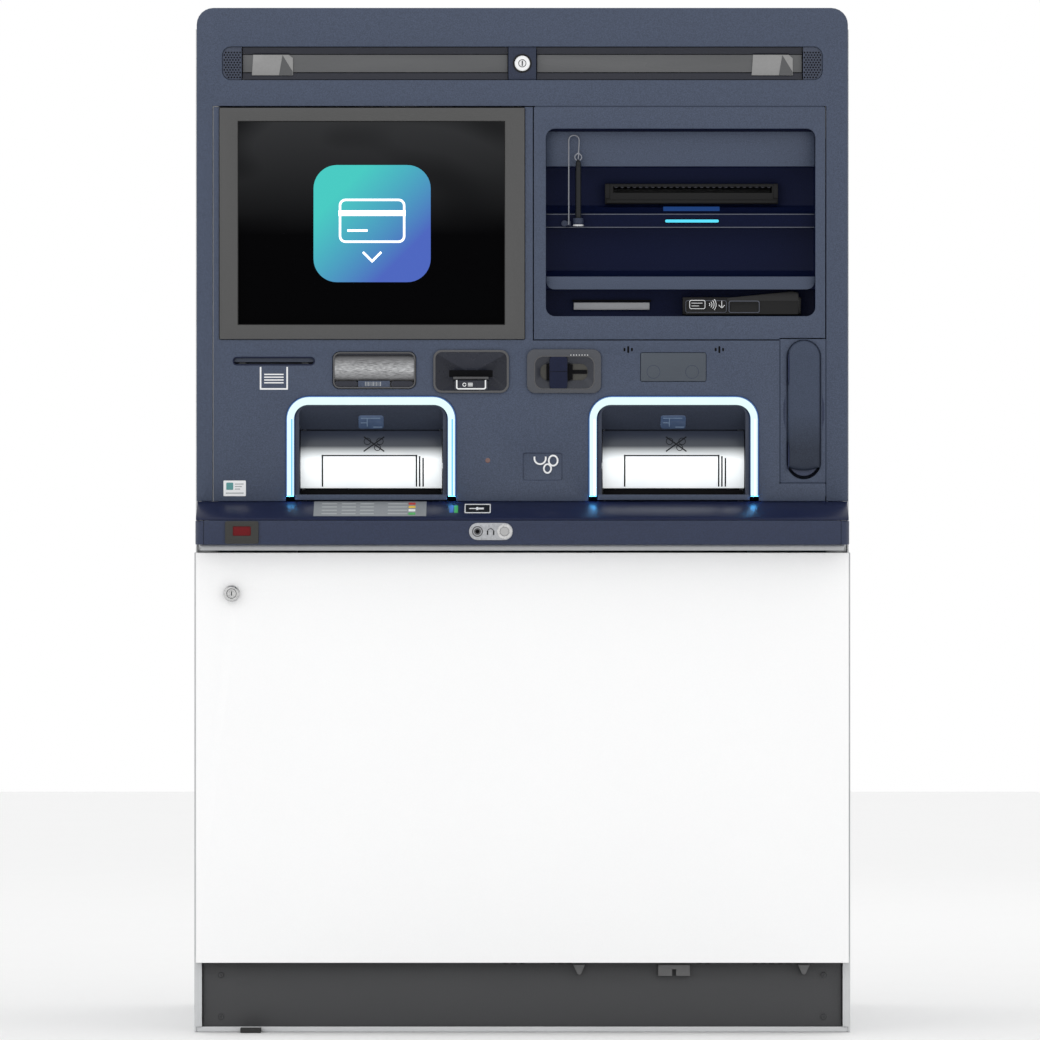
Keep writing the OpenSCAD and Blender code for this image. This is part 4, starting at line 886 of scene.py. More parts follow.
class FASCIA_OT_alcove(bpy.types.Operator):
    """Finishes the printer alcove: brow, rib, lamp, statement mouth and tray"""

    bl_idname = "machine.alcove"
    bl_label = "Alcove"

    def execute(self, context):
        refined("alcove_liner", 0.8, "liner_plastic")
        x = (LINER.x0 + 3.4, LINER.x1 - 3.4)
        floor, top = LINER.z0 + 3, LINER.z1 - 3
        self.covers(x, floor, top)
        self.mouth(Extent("statement_mouth"))
        self.rib(Extent("alcove_lamp"))
        self.tray(floor, Extent("contactless_reader"), Extent("deposit_strip"))
        return {"FINISHED"}

    def covers(self, x, floor, top):
        """Fascia-coloured skins over the brow and the crossbar, and painted highlights along the rib's edges."""
        brow_low, brow_y = top - 52.9, FACE_Y + 18
        bm = bmesh.new()
        prism(bm, [(brow_y - 1.4, top - 3.6), (brow_y + 2.6, brow_low - 0.6), (brow_y + 4.2, brow_low - 0.6),
                   (brow_y + 0.2, top - 3.6)], x, along="X", soft=0.5)
        piece("alcove_brow_cover", bm, "fascia", "fascia_paint")
        bar_low = floor + 39.1
        bm = bmesh.new()
        corner = 12
        foot = (arc_points(x[0] + corner, bar_low + 11.5, corner, 180, 270)
                + arc_points(x[1] - corner, bar_low + 11.5, corner, 270, 360))
        prism(bm, round_outline(*x, bar_low - 0.5, bar_low + 18, 0.6)[:14] + foot,
              (FACE_Y + 10.6, FACE_Y + 12.4), soft=0.4)
        piece("alcove_crossbar_cover", bm, "fascia", "fascia_paint")
        rib = Extent("alcove_lamp")
        # Painted highlights: pale lines along the rib's upper and lower edges where light catches them.
        bm = bmesh.new()
        for z in (rib.z0 - 6.2, rib.z0 + 12.6):
            block(bm, x, (rib.y1 - 0.5, rib.y1 + 0.6), (z - 0.7, z + 0.7), soft=0.3)
        piece("alcove_rib_edges", bm, "fascia", "edge_line")

    def mouth(self, box):
        """The statement mouth: a stepped bezel with a row of teeth over the slot."""
        slot_top = box.z0 + 25
        slot_x = (box.x0 + 12, box.x1 - 9)
        bm = merged_copy("statement_mouth")
        soften(bm, 0.7)
        for x, z in (((box.x0 + 2, box.x1 - 2), (box.z0 + 0.8, box.z0 + 6)),
                     ((box.x0, box.x0 + 7), (box.z0 + 8, box.z1)), ((box.x1 - 7, box.x1), (box.z0 + 8, box.z1))):
            block(bm, x, (box.y0 - 2.2, box.y0 + 1), z, soft=0.6)
        piece("statement_mouth_bezel", bm, "fascia", "black_plastic",
              replaces=("statement_mouth",))
        bm = bmesh.new()
        teeth = 26
        pitch = (slot_x[1] - slot_x[0]) / teeth
        for i in range(teeth):
            x = slot_x[0] + (i + 0.5) * pitch
            root, tip = pitch * 0.36, pitch * 0.16
            prism(bm, [(x - root, slot_top + 0.2), (x + root, slot_top + 0.2), (x + tip, slot_top - 1.5),
                       (x - tip, slot_top - 1.5)], (box.y0 + 1.5, box.y0 + 6))
        piece("statement_mouth_teeth", bm, "fascia", "smoke_plastic")
        bm = bmesh.new()
        low, high = (FACE_Y + 42, 1177.6), (box.y0 - 1, 1184.3)  # where the lit slope starts and ends
        prism(bm, [low, high, (high[0], high[1] + 0.5), (low[0], low[1] + 0.5)], (box.x0 + 84, box.x0 + 165),
              along="X")
        piece("statement_mouth_glow", bm, "fascia", "slot_glow")
        refined("statement_printer", 1.2)

    def rib(self, lamp):
        """The rib's lamp: a lens in a thin bezel."""
        bm = bmesh.new()
        prism(bm, round_outline(lamp.x0, lamp.x1, lamp.z0 + 0.7, lamp.z1 - 0.9, 2.0), (lamp.y0 + 1, lamp.y1 + 1),
              soft=0.5)
        piece("alcove_lamp_lens", bm, "fascia", "lamp_light", replaces=("alcove_lamp",))
        bm = bmesh.new()
        outline = round_outline(lamp.x0 - 1.2, lamp.x1 + 1.2, lamp.z0 - 0.5, lamp.z1 + 0.3, 3.2)
        inner = round_outline(lamp.x0 + 0.1, lamp.x1 - 0.1, lamp.z0 + 0.8, lamp.z1 - 1.0, 1.9)
        frame_ring(bm, outline, inner, lamp.y1 - 0.8, lamp.y1 + 0.3)
        piece("alcove_lamp_bezel", bm, "fascia", "gap_black")

    def tray(self, floor, reader, strip):
        """The contactless reader with its printed marks, and the lit strip at the tray's edge."""
        refined("contactless_reader", 0.9, "black_plastic", "contactless_reader_case", angle=0.6)
        front = reader.y0
        bm = bmesh.new()
        prism(bm, [(reader.x0 + 64, floor + 4), (reader.x1 - 1, floor + 4), (reader.x1 - 4, floor + 34),
                   (reader.x1 - 12, floor + 36.5), (reader.x0 + 64, floor + 27)],
              (front + 9, reader.y1), soft=1.2)
        piece("contactless_reader_hood", bm, "fascia", "hood_black")
        bm = bmesh.new()
        y, stroke = front + 0.2, 0.8
        x0, z0 = reader.x0 + 10, floor + 11
        lines(bm, round_outline(x0, x0 + 22, z0, z0 + 12, 2, 2), stroke, y, closed=True)
        line(bm, (x0 + 3, z0 + 4), (x0 + 13, z0 + 4), 0.7, y)
        line(bm, (x0 + 3, z0 + 8), (x0 + 18, z0 + 8), 0.7, y)
        for i in range(4):
            lines(bm, arc_points(x0 + 26, z0 + 6, 3.0 + 3.0 * i, -38, 38, 5), stroke, y)
        line(bm, (x0 + 46, z0 + 1), (x0 + 46, z0 + 11), stroke, y)
        lines(bm, [(x0 + 42, z0 + 5), (x0 + 46, z0 + 1), (x0 + 50, z0 + 5)], stroke, y)
        piece("contactless_reader_marks", bm, "fascia", "white_ink")
        bm = bmesh.new()
        rim(bm, (reader.x0 + 4, reader.x0 + 63), (floor + 5.4, floor + 23), (0, 0.7), (3, 2.4), (y - 0.1, y + 0.4))
        rim(bm, (reader.x0 + 66, reader.x1 - 60), (floor + 5, floor + 22.5), (0, 1), (3, 2.4), (y - 0.3, y + 0.4))
        piece("contactless_reader_edges", bm, "fascia", "edge_line")
        refined("deposit_strip", 0.5, "pale_strip", "deposit_strip_lens", angle=0.6)
        bm = bmesh.new()
        block(bm, (strip.x0 - 2, strip.x1 + 2), (strip.y0 - 0.6, strip.y1 + 0.1), (strip.z1 + 1.0, strip.z1 + 4.0))
        piece("deposit_slot_line", bm, "fascia", "gap_black")


class FASCIA_OT_pen(bpy.types.Operator):
    """Makes the pen, its holder and the springy tether that loops over it"""

    bl_idname = "machine.pen"
    bl_label = "Pen and tether"

    def execute(self, context):
        self.tether()
        pen = Extent("pen")
        x, y, r = pen.x, pen.y, (pen.x1 - pen.x0) / 2
        bm = bmesh.new()
        turned(bm, [(0, pen.z0), (r * 0.55, pen.z0), (r * 0.95, pen.z0 + 5), (r, pen.z0 + 9), (r, pen.z1 - 9),
                    (r * 0.86, pen.z1 - 8.4), (r * 0.86, pen.z1 - 3.2), (r * 0.62, pen.z1 - 2.2),
                    (r * 0.5, pen.z1), (0, pen.z1)], (x, y), along="Z", steps=28)
        for i in range(7):
            ring(bm, (x, y), r + 0.12, r - 0.3, pen.z0 + 12 + i * 2.2, pen.z0 + 13 + i * 2.2, along="Z", steps=24)
        piece("pen_barrel", bm, "pen", "pen_black", replaces=("pen",))
        holder = Extent("pen_holder")
        refined("pen_holder", 0.3, "block_plastic", "pen_holder_ring", angle=0.6)
        bm = bmesh.new()
        ring(bm, (x, y), r + 3.6, r + 0.6, holder.z0 + 0.2, holder.z0 + 1.3, along="Z", steps=32)
        ring(bm, (x, y), r + 3.4, r + 2.9, holder.z0 + 1.3, holder.z0 + 2.4, along="Z", steps=32)
        piece("pen_holder_lip", bm, "fascia", "clear_plastic")
        return {"FINISHED"}

    def tether(self):
        """The route is the one that the frame's own solid follows: up, over in an arch and down to the pen."""
        box = Extent("pen_tether")
        pen = Extent("pen")
        thick = box.y1 - box.y0
        bend = 7.5
        foot_x, y, end_x = box.x0 + thick / 2, box.y, pen.x
        foot_z, spring_z, end_z = box.z0, box.z1 - thick / 2 - bend, pen.z1 + 1
        path = [(foot_x, y, foot_z + (spring_z - foot_z) * i / 12) for i in range(13)]
        path += [(foot_x + bend - bend * math.cos(math.radians(a)), y,
                  spring_z + bend * math.sin(math.radians(a))) for a in range(15, 181, 15)]
        turn_x = foot_x + 2 * bend
        path += [(turn_x - (turn_x - end_x) * i / 4, y, spring_z - (spring_z - end_z) * i / 4) for i in range(1, 5)]
        curve = bpy.data.curves.new("pen_tether_loop", "CURVE")
        curve.dimensions = "3D"
        spline = curve.splines.new("POLY")
        spline.points.add(len(path) - 1)
        for point, place in zip(spline.points, path):
            point.co = (*(v * MM for v in place), 1.0)
        curve.bevel_depth = thick / 2 * MM
        curve.bevel_resolution = 3
        curve.use_fill_caps = True
        curve.materials.append(finish_of("loop_clear"))
        drawn = bpy.data.objects.new("pen_tether_route", curve)
        made = bpy.data.objects.new("pen_tether_loop", bpy.data.meshes.new_from_object(drawn))
        bpy.data.objects.remove(drawn)
        bpy.context.scene.collection.objects.link(made)
        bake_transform(made)
        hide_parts("pen_tether")
        bm = bmesh.new()
        outer, inner = (
            arc_points(pen.x, pen.z1 + 3.8, r, 150, 390, 16) + [(pen.x + reach, top), (pen.x - reach, top)]
            for r, reach, top in ((5.6, 1.4, pen.z1 + 10), (4.2, 0.5, pen.z1 + 8.4)))
        frame_ring(bm, outer, inner, y - 0.7, y + 0.7)
        piece("pen_eye", bm, "pen", "loop_clear")


class FASCIA_OT_readers(bpy.types.Operator):
    """Finishes the receipt slot, code scanner, card mouth, dip reader and microphone openings"""

    bl_idname = "machine.readers"
    bl_label = "Readers"

    def execute(self, context):
        width = context.scene.machine_sizes.mark
        self.receipt(width)
        self.scanner()
        self.card(width)
        self.dip()
        self.plate()
        return {"FINISHED"}

    def receipt(self, width):
        """The receipt slot with its rim and lips, and the mark below it."""
        box = Extent("receipt_printer")
        x0, x1 = box.x0 - 8, box.x1 + 8
        z0, z1 = box.z1 - 23, box.z1 - 12
        bm = bmesh.new()
        rim(bm, (x0, x1), (z0, z1), (-0.7, 1.0), (6.1, 4.4), (FACE_Y - 0.5, FACE_Y + 4), soft=0.3)
        piece("receipt_slot_rim", bm, "fascia", "navy_plastic")
        bm = bmesh.new()
        block(bm, (x0 + 0.5, x1 - 0.5), (FACE_Y + 2.5, FACE_Y + 4), (z0 + 4.0, z1 - 0.5), soft=0.3)
        block(bm, (x0 + 0.5, x1 - 0.5), (FACE_Y + 2, FACE_Y + 4), (z0 + 0.4, z0 + 1.6), soft=0.3)
        piece("receipt_slot_lips", bm, "fascia", "throat_plastic")
        refined("receipt_printer", 1.0)
        left, right = x0 + 39.3, x0 + 77.4
        top, low = z0 - 4, z0 - 34.4
        bm = bmesh.new()
        lines(bm, [(left, top), (left, low), (right, low), (right, top)], width, FACE_Y)
        for z in (top - 9.6 - 4 * i for i in range(4)):
            line(bm, (left + 6, z), (right - 6, z), width * 0.8, FACE_Y)
        piece("receipt_mark", bm, "fascia", "white_ink")

    def scanner(self):
        """The code scanner: a rimmed window with a brushed lens, two pads and a plain bar mark below it."""
        box = Extent("code_scanner")
        bm = bmesh.new()
        rim(bm, (box.x0, box.x1), (box.z0, box.z1), (0, 2.2), (9.5, 7.5), (box.y0, box.y0 + 12), soft=0.5)
        block(bm, (box.x0 + 1, box.x1 - 1), (box.y0 + 11, box.y1), (box.z0 + 1, box.z1 - 1), corner=8)
        piece("code_scanner_rim", bm, "fascia", "smoke_rim", replaces=("code_scanner",))
        bm = bmesh.new()
        block(bm, (box.x0 + 5, box.x1 - 5), (box.y0 + 2.5, box.y0 + 11.5), (box.z1 - 4.4, box.z1 - 2), soft=0.6)
        piece("code_scanner_visor", bm, "fascia", "smoke_plastic")
        bm = bmesh.new()
        deep, tall = 7.6, 20.5
        prism(bm, [(box.y0 + 9 + deep * math.cos(math.radians(a)), box.z + 4.2 + tall * math.sin(math.radians(a)))
                   for a in range(0, 360, 6)], (box.x0 + 2.3, box.x1 - 2.3), along="X")
        piece("code_scanner_lens", bm, "fascia", "brushed_lens")
        bm = bmesh.new()
        for x0, x1 in ((box.x0 + 2.4, box.x0 + 35), (box.x1 - 35, box.x1 - 4)):
            prism(bm, round_outline(x0, x1, box.z0 + 2.3, box.z0 + 10.6, 3), (box.y0 + 1.5, box.y0 + 4), soft=0.4)
        piece("code_scanner_pads", bm, "fascia", "smoke_plastic")
        bm = bmesh.new()
        prism(bm, round_outline(box.x0 + 36, box.x1 - 37, box.z0 + 2.2, box.z0 + 11, 1), (box.y0 + 1.7, box.y0 + 3))
        piece("code_scanner_label", bm, "fascia", "fascia_paint")
        bm = bmesh.new()
        widths = (0.9, 0.5, 1.3, 0.5, 0.5, 0.9, 1.3, 0.5, 0.9, 0.5, 0.5, 1.3)
        x = box.x0 + 46
        for bar in widths:
            block(bm, (x, x + bar), (box.y0 + 1.4, box.y0 + 1.8), (box.z0 + 3.6, box.z0 + 9.6))
            x += bar + 1.2
        piece("code_scanner_bars", bm, "fascia", "pale_ink")

    def card(self, width):
        """The card mouth: a rimmed funnel whose four faces run in to the slot."""
        box = Extent("card_mouth")
        slot = (box.x0 + 24.6, box.x0 + 83.1, box.z - 7, box.z + 1)
        bm = bmesh.new()
        rim_in = round_outline(box.x0 + 3.2, box.x1 - 3.2, box.z0 + 3.2, box.z1 - 3.2, 9.2)
        frame_ring(bm, round_outline(box.x0, box.x1, box.z0, box.z1, 12), rim_in, box.y0, FACE_Y + 2, soft=0.7)
        piece("card_mouth_rim", bm, "fascia", "smoke_rim")
        bm = funnel(rim_in, box.y0 + 1.2, round_outline(slot[0] - 2, slot[1] + 2, slot[2] - 1, slot[3] + 1, 1.2),
                    FACE_Y + 12)
        piece("card_mouth_funnel", bm, "fascia", "funnel_plastic", smooth=22,
              replaces=("card_mouth",))
        bm = bmesh.new()
        block(bm, (slot[0] - 3, slot[1] + 3), (FACE_Y + 12.2, FACE_Y + 21), (slot[2] - 2, slot[3] + 2))
        piece("card_slot_shadow", bm, "fascia", "gap_black")
        bm = bmesh.new()
        block(bm, (slot[0] + 4, slot[1] - 4), (FACE_Y + 5.2, FACE_Y + 10), (slot[2] - 4.4, slot[2] - 0.6), soft=0.4)
        piece("card_slot_lip", bm, "fascia", "smoke_rim")
        bm = bmesh.new()
        left, right, top, low = box.x0 + 33.6, box.x0 + 74.8, box.z0 + 18.4, box.z0 + 5.8
        plane = FACE_Y - 2.2
        prism(bm, round_outline(left - 3.5, right + 3.5, low - 2.2, top - 0.5, 2), (plane, plane + 8), soft=0.4)
        piece("card_mark_plate", bm, "fascia", "smoke_plastic")
        bm = bmesh.new()
        lines(bm, [(left, top - 1), (left, low + 1.5), (left + 1.8, low), (right - 1.8, low), (right, low + 1.5),
                   (right, top - 1)], width * 0.85, plane)
        lines(bm, arc_points(left + 11, low + 6, 2.4, 0, 360, 8), 1.0, plane)
        for z in (low + 4.2 + i * 1.9 for i in range(3)):
            line(bm, (left + 16.5, z), (left + 22.5, z), 1.0, plane)
        piece("card_mark", bm, "fascia", "white_ink")
        refined("card_reader", 1.0)

    def dip(self):
        """The dip reader: a translucent rim, a bowed recess, a dark nose and the card slot beside it."""
        box = Extent("dip_reader")
        mid = box.z - 1
        hole_x, hole_z = (box.x0 + 11, box.x1 - 10), (box.z0 + 6, box.z1 - 10)
        bm = bmesh.new()
        rim_in = round_outline(*hole_x, *hole_z, 12)
        frame_ring(bm, round_outline(box.x0, box.x1, box.z0, box.z1, 12), rim_in, box.y0, FACE_Y + 2, soft=0.9)
        piece("dip_reader_rim", bm, "fascia", "frosted_rim")
        mouth = round_outline(box.x0 + 19.2, box.x0 + 87.3, mid - 11.9, mid + 11.9, 10)
        bm = funnel(rim_in, box.y0 + 1.0, mouth, FACE_Y + 5)
        piece("dip_reader_funnel", bm, "fascia", "frosted_wall", smooth=50)
        bm = bmesh.new()
        rim(bm, hole_x, hole_z, (-0.6, 0.8), (12.5, 11.3), (box.y0 - 0.2, box.y0 + 1.5), soft=0.3)
        piece("dip_reader_inner_edge", bm, "fascia", "smoke_rim")
        bm = bmesh.new()
        prism(bm, round_outline(box.x0 + 17, box.x0 + 89.5, mid - 14, mid + 14, 11), (FACE_Y + 6.2, FACE_Y + 12))
        block(bm, (box.x0 + 10, box.x1 - 10), (FACE_Y + 12, box.y1), (box.z0 + 8, box.z1 - 8), soft=1)
        piece("dip_reader_back", bm, "fascia", "brass_grey", replaces=("dip_reader",))
        bm = bmesh.new()
        x0, x1 = box.x0 + 32.4, box.x0 + 58.1
        block(bm, (x0, x1), (box.y0, FACE_Y + 8), (mid - 24.2, mid + 22.4), corner=5, soft=0.8)
        piece("dip_reader_nose", bm, "fascia", "navy_plastic")
        bm = bmesh.new()
        line(bm, (x0 + 1, mid + 0.6), (x1 - 1, mid + 0.6), 0.6, box.y0 + 0.1)
        for x in (x0 - 4.4, x1 + 0.6):
            block(bm, (x, x + 3.6), (FACE_Y + 2.5, FACE_Y + 7), (mid - 11.6, mid + 11.6))
        block(bm, (x1 + 2, x1 + 7.6), (FACE_Y + 3, FACE_Y + 7), (mid - 11, mid + 11))
        block(bm, (x1 + 7.6, x1 + 28), (FACE_Y + 4.8, FACE_Y + 7), (mid - 2.6, mid + 3))
        piece("dip_reader_slots", bm, "fascia", "gap_black")
        bm = bmesh.new()
        for i in range(7):
            rod(bm, (x1 + 5 + i * 4.0, box.z1 - 8.4), "Y", 0.75, box.y0 - 0.2, box.y0 + 0.3, steps=8)
        piece("dip_reader_dots", bm, "fascia", "white_ink")

    def plate(self):
        """Two fine rings on the blank plate, and a three-slot microphone opening above each end."""
        box = Extent("blank_plate")
        bm = bmesh.new()
        for x in (box.x0 + 18.3, box.x1 - 19.9):
            ring(bm, (x, box.z - 6.9), 9.6, 9.1, box.y0 - 0.12, box.y0 + 0.2)
        piece("blank_plate_rings", bm, "fascia", "bumper_plastic")
        bm = bmesh.new()
        for x in (box.x0 - 17.9, box.x1 + 19.2):
            for shift, height in ((-5.3, 5), (0, 10), (5.3, 5)):
                block(bm, (x + shift - 1.4, x + shift + 1.4), (FACE_Y - 0.15, FACE_Y + 1),
                      (box.z1 + 4.7 - height / 2, box.z1 + 4.7 + height / 2), corner=1.3, corner_steps=3)
        piece("microphone_slots", bm, "fascia", "gap_black")


class FASCIA_OT_handset(bpy.types.Operator):
    """Makes the handset with its softly crowned back, ear piece and mouth piece"""

    bl_idname = "machine.handset"
    bl_label = "Handset"

    def execute(self, context):
        box = Extent("handset")
        r = (box.x1 - box.x0) / 2
        low = box.z0 + 4.5
        bm = bmesh.new()
        outline = (arc_points(box.x, box.z1 - r, r, 0, 180, 20)
                   + arc_points(box.x, low + 52, 56.5, 246, 294, 8))
        self.crown(bm, outline, box)
        piece("handset_shell", bm, "handset", "handset_paint", smooth=60, replaces=("handset",))
        bm = bmesh.new()
        for z in (box.z1 - r, low + r + 2):
            turned(bm, [(0, box.y1 - 0.2), (0, FACE_Y + 11), (r - 5, FACE_Y + 11), (r - 4, FACE_Y + 22),
                        (r - 6, box.y1 - 1.2), (r - 9, box.y1 - 0.2)], (box.x, z))
        piece("handset_pads", bm, "handset", "rubber")
        bm = bmesh.new()
        for z in (box.z1 - r, low + r + 2):
            for i in range(6):
                a = math.radians(60 * i)
                rod(bm, (box.x + 6 * math.cos(a), z + 6 * math.sin(a)), "Y", 0.9, box.y1 - 0.5, box.y1, steps=8)
        piece("handset_pad_holes", bm, "handset", "gap_black")
        self.scoop_shade(box)
        self.recess(box, low)
        return {"FINISHED"}

    def recess(self, box, low):
        """The recess under the handset's foot, the soft line of the gap round the handset, and painted shadows along
        its left edge.
        """
        half = (box.x1 - box.x0) / 2
        bm = bmesh.new()
        pocket = arc_points(box.x, low - 14 + half, half - 2, 200, 340, 16)
        prism(bm, pocket, (FACE_Y + 3, FACE_Y + 5), soft=0.4)
        piece("handset_recess_floor", bm, "fascia", "cradle_plastic")
        bm = bmesh.new()
        inner, outer = half + 0.3, half + 1.2
        depth = (FACE_Y + 1.6, FACE_Y + 4)
        # Spans of the painted shadows at the handset's left edge; the gap filler leaves them out.
        shadow_spans = ((804, 846), (927, 975))
        prism(bm, arc_points(box.x, box.z1 - half, outer, 0, 180, 24)
              + arc_points(box.x, box.z1 - half, inner, 0, 180, 24)[::-1], depth)
        for side, z in ((-1, (shadow_spans[0][1], shadow_spans[1][0] - 2)), (1, (815, box.z1 - half))):
            block(bm, sorted((box.x + side * inner, box.x + side * outer)), depth, z)
        piece("handset_gap_filler", bm, "fascia", "seam_filler")
        # Painted shadows: thin dark crescents along the handset's left edge where its ends bulge.
        bm = bmesh.new()
        for low_z, high_z in shadow_spans:
            tall = high_z - low_z
            rim = [(box.x0 + reach, low_z + tall * share)
                   for reach, share in ((0.3, 0), (1.8, 0.2), (2.4, 0.5), (1.8, 0.8), (0.3, 1))]
            prism(bm, rim, (box.y0 + 1.9, box.y0 + 7))
        piece("handset_side_hollows", bm, "handset", "lip_navy")

    def crown(self, bm, outline, box):
        """Rings of the outline, drawn in and raised step by step, and capped at both ends."""
        centre = Vector((box.x, 0, box.z))
        wide, tall = (box.x1 - box.x0) / 2, (box.z1 - box.z0) / 2
        steps = ((0, FACE_Y + 12), (0, box.y0 + 6), (0.8, box.y0 + 3.6), (2.4, box.y0 + 2.2), (5.5, box.y0 + 1.2),
                 (9.5, box.y0 + 0.5), (14, box.y0))
        rings = []
        for inset, y in steps:
            grow = (1 - inset / wide, 1 - inset / tall)
            rings.append(loop(bm, [(centre.x + (a - centre.x) * grow[0], y, centre.z + (b - centre.z) * grow[1])
                                   for a, b in outline]))
        for near, far in zip(rings, rings[1:]):
            bmesh.ops.bridge_loops(bm, edges=near + far)
        for end in (rings[0], rings[-1]):
            bmesh.ops.contextual_create(bm, geom=end)
        bmesh.ops.recalc_face_normals(bm, faces=bm.faces)

    def scoop_shade(self, box):
        """Painted shade of the shallow finger scoops at each side of the handset: flat crescents darker than the
        panel.
        """
        bm = bmesh.new()
        mid, half = box.z - 9, 25
        for x, side in ((box.x0 - 3.2, -1), (box.x1 + 3.2, 1)):
            outline = [(x, mid - half), (x + side * 3.0, mid - half * 0.45), (x + side * 3.4, mid),
                       (x + side * 3.0, mid + half * 0.45), (x, mid + half)]
            # Painted shade: the crescents are flat sheets, darker than the fascia, and not hollows.
            prism(bm, outline if side > 0 else outline[::-1], (FACE_Y - 0.12, FACE_Y + 0.6))
        piece("handset_finger_scoops", bm, "fascia", "bumper_plastic")


class FASCIA_OT_cash(bpy.types.Operator):
    """Finishes both cash units: light band, throat, hood, lens, shutter and its printed marks"""

    bl_idname = "machine.cash"
    bl_label = "Cash units"

    def execute(self, context):
        refined("cash_throats", 0.6, "throat_plastic")
        refined("light_bands", 0.9, "band_rim", "light_band_housings", segments=3, angle=0.6)
        for name in ("left", "right"):
            shutter = Extent(name + "_shutter")
            self.shutter(name, shutter)
            self.surround(name, shutter, Extent("cash_throats"), Extent("light_bands"))
        return {"FINISHED"}

    def shutter(self, name, box):
        """The shutter keeps the frame's shape; its marks are bent to its curve."""
        refined(name + "_shutter", 0.4, "shutter_plastic", smooth=50)
        radius = 75.0  # of the shutter's front
        axis_y, axis_z = box.y0 + radius, box.z0 + 33
        cx = box.x
        bm = bmesh.new()
        low, high = box.z0 + 3.5, box.z0 + 47
        width = 2.2
        for x, top in ((-70, high), (65, high), (69.6, high - 2), (74.6, high - 4.5)):
            self.stroke(bm, (cx + x, low), (cx + x, top), width)
        line(bm, (cx - 70, high), (cx + 65, high), 1.8, 0)
        mark_x, mark_z = cx + 4, box.z0 + 63.5
        for dx, dz, r in ((-9.5, 4, 4.8), (8.5, 4, 4.8), (5, -5, 4.4)):
            lines(bm, arc_points(mark_x + dx, mark_z + dz, r, 0, 360, 12), 1.0, 0)
        self.stroke(bm, (mark_x - 14, mark_z + 10), (mark_x + 14, mark_z - 10), 1.8)
        self.stroke(bm, (mark_x - 14, mark_z - 10), (mark_x + 14, mark_z + 10), 1.8)
        for vert in bm.verts:
            rise = vert.co.z - axis_z
            vert.co.y += axis_y - math.sqrt(max(radius ** 2 - rise ** 2, 1.0))
        piece(f"{name}_shutter_marks", bm, name + "_shutter", "dark_ink")

    def stroke(self, bm, a, b, width, parts=10):
        """A line in short lengths, so that it can follow the shutter's curve."""
        stops = [(a[0] + (b[0] - a[0]) * i / parts, a[1] + (b[1] - a[1]) * i / parts) for i in range(parts + 1)]
        lines(bm, stops, width, 0)

    def surround(self, name, box, throats, bands):
        """The hood's lens, the light band with its foot, and what shows in the throat."""
        cx = box.x
        bm = bmesh.new()
        lens_z = throats.z1 - 25
        lens_y = FACE_Y + 22.5
        part = bmesh.new()
        block(part, (cx - 18.5, cx + 18), (-1.4, 2.4), (-12.5, 12.5), corner=4.5, soft=0.8)
        tilt = Matrix.Rotation(math.radians(41), 4, "X")
        absorb(bm, part, Matrix.Translation((0, lens_y, lens_z)) @ tilt)
        piece(f"{name}_hood_lens", bm, "fascia", "lens_blue")
        # Painted highlights: paler strips inside the lens stand for glints of light on its glass.
        bm = bmesh.new()
        for x0, x1, z0, z1 in ((-15, 13, 7.2, 8.6), (-6.4, -5.2, -8, 7), (-15, -6, -1.6, -0.4),
                               (3, 15.6, -9.6, -8.2)):
            part = bmesh.new()
            block(part, (x0, x1), (-1.7, -1.2), (z0, z1))
            absorb(bm, part, Matrix.Translation((cx, lens_y, lens_z)) @ tilt)
        piece(f"{name}_hood_lens_glints", bm, "fascia", "lens_glint")
        bm = bmesh.new()
        band, outer = 12.0, 121.9  # width of the band, and its outer edge from the unit's middle
        legs = (bands.z0 + 0.6, bands.z1 - 33)
        face = (bands.y0 - 0.15, bands.y0 + 0.6)
        arch = []
        for reach, r in ((outer - 1.5, 31.5), (outer - band + 0.6, 20.4)):
            top = legs[1] + r
            arch.append([(cx + reach, legs[0])] + arc_points(cx + reach - r, top - r, r, 0, 90, 10)
                        + arc_points(cx - reach + r, top - r, r, 90, 180, 10) + [(cx - reach, legs[0])])
        prism(bm, arch[0] + arch[1][::-1], face)
        piece(f"{name}_band_diffuser", bm, "fascia", "band_light")
        bm = bmesh.new()
        for x in (cx + outer - 5.4, cx - outer + 8.4):
            block(bm, (x - 0.9, x + 0.9), (face[0] - 0.15, face[1]), legs)
        if name == "left":  # the right unit's lines glow with its foot
            piece("left_band_lines", bm, "fascia", "band_edge")
            bm = bmesh.new()
        for x in (cx - outer + band / 2, cx + outer - band / 2):
            block(bm, (x - 5, x + 5), (FACE_Y - 3.5, FACE_Y - 0.4), (bands.z0 - 0.5, bands.z0 - 0.2))
        piece(f"{name}_band_foot_glow", bm, "fascia", "guide_glow")
        bm = bmesh.new()
        block(bm, (cx - 101, cx + 101), (box.y0 + 6, box.y0 + 9), (throats.z0 + 8.2, throats.z0 + 14.6))
        piece(f"{name}_throat_gap", bm, "fascia", "gap_black")
        bm = bmesh.new()
        block(bm, (cx - outer + band + 1, cx + outer - band - 1), (FACE_Y - 0.2, FACE_Y + 2),
              (throats.z0 + 0.4, throats.z0 + 8), soft=0.3)
        piece(f"{name}_throat_lip", bm, "fascia", "fascia_paint")
        bm = bmesh.new()
        for rise in (30, 60, 90):
            rod(bm, (cx - 60, throats.z0 + rise), "Y", 3, FACE_Y + 150, FACE_Y + 168, steps=12)
        piece(f"{name}_throat_guides", bm, "fascia", "bare_steel")


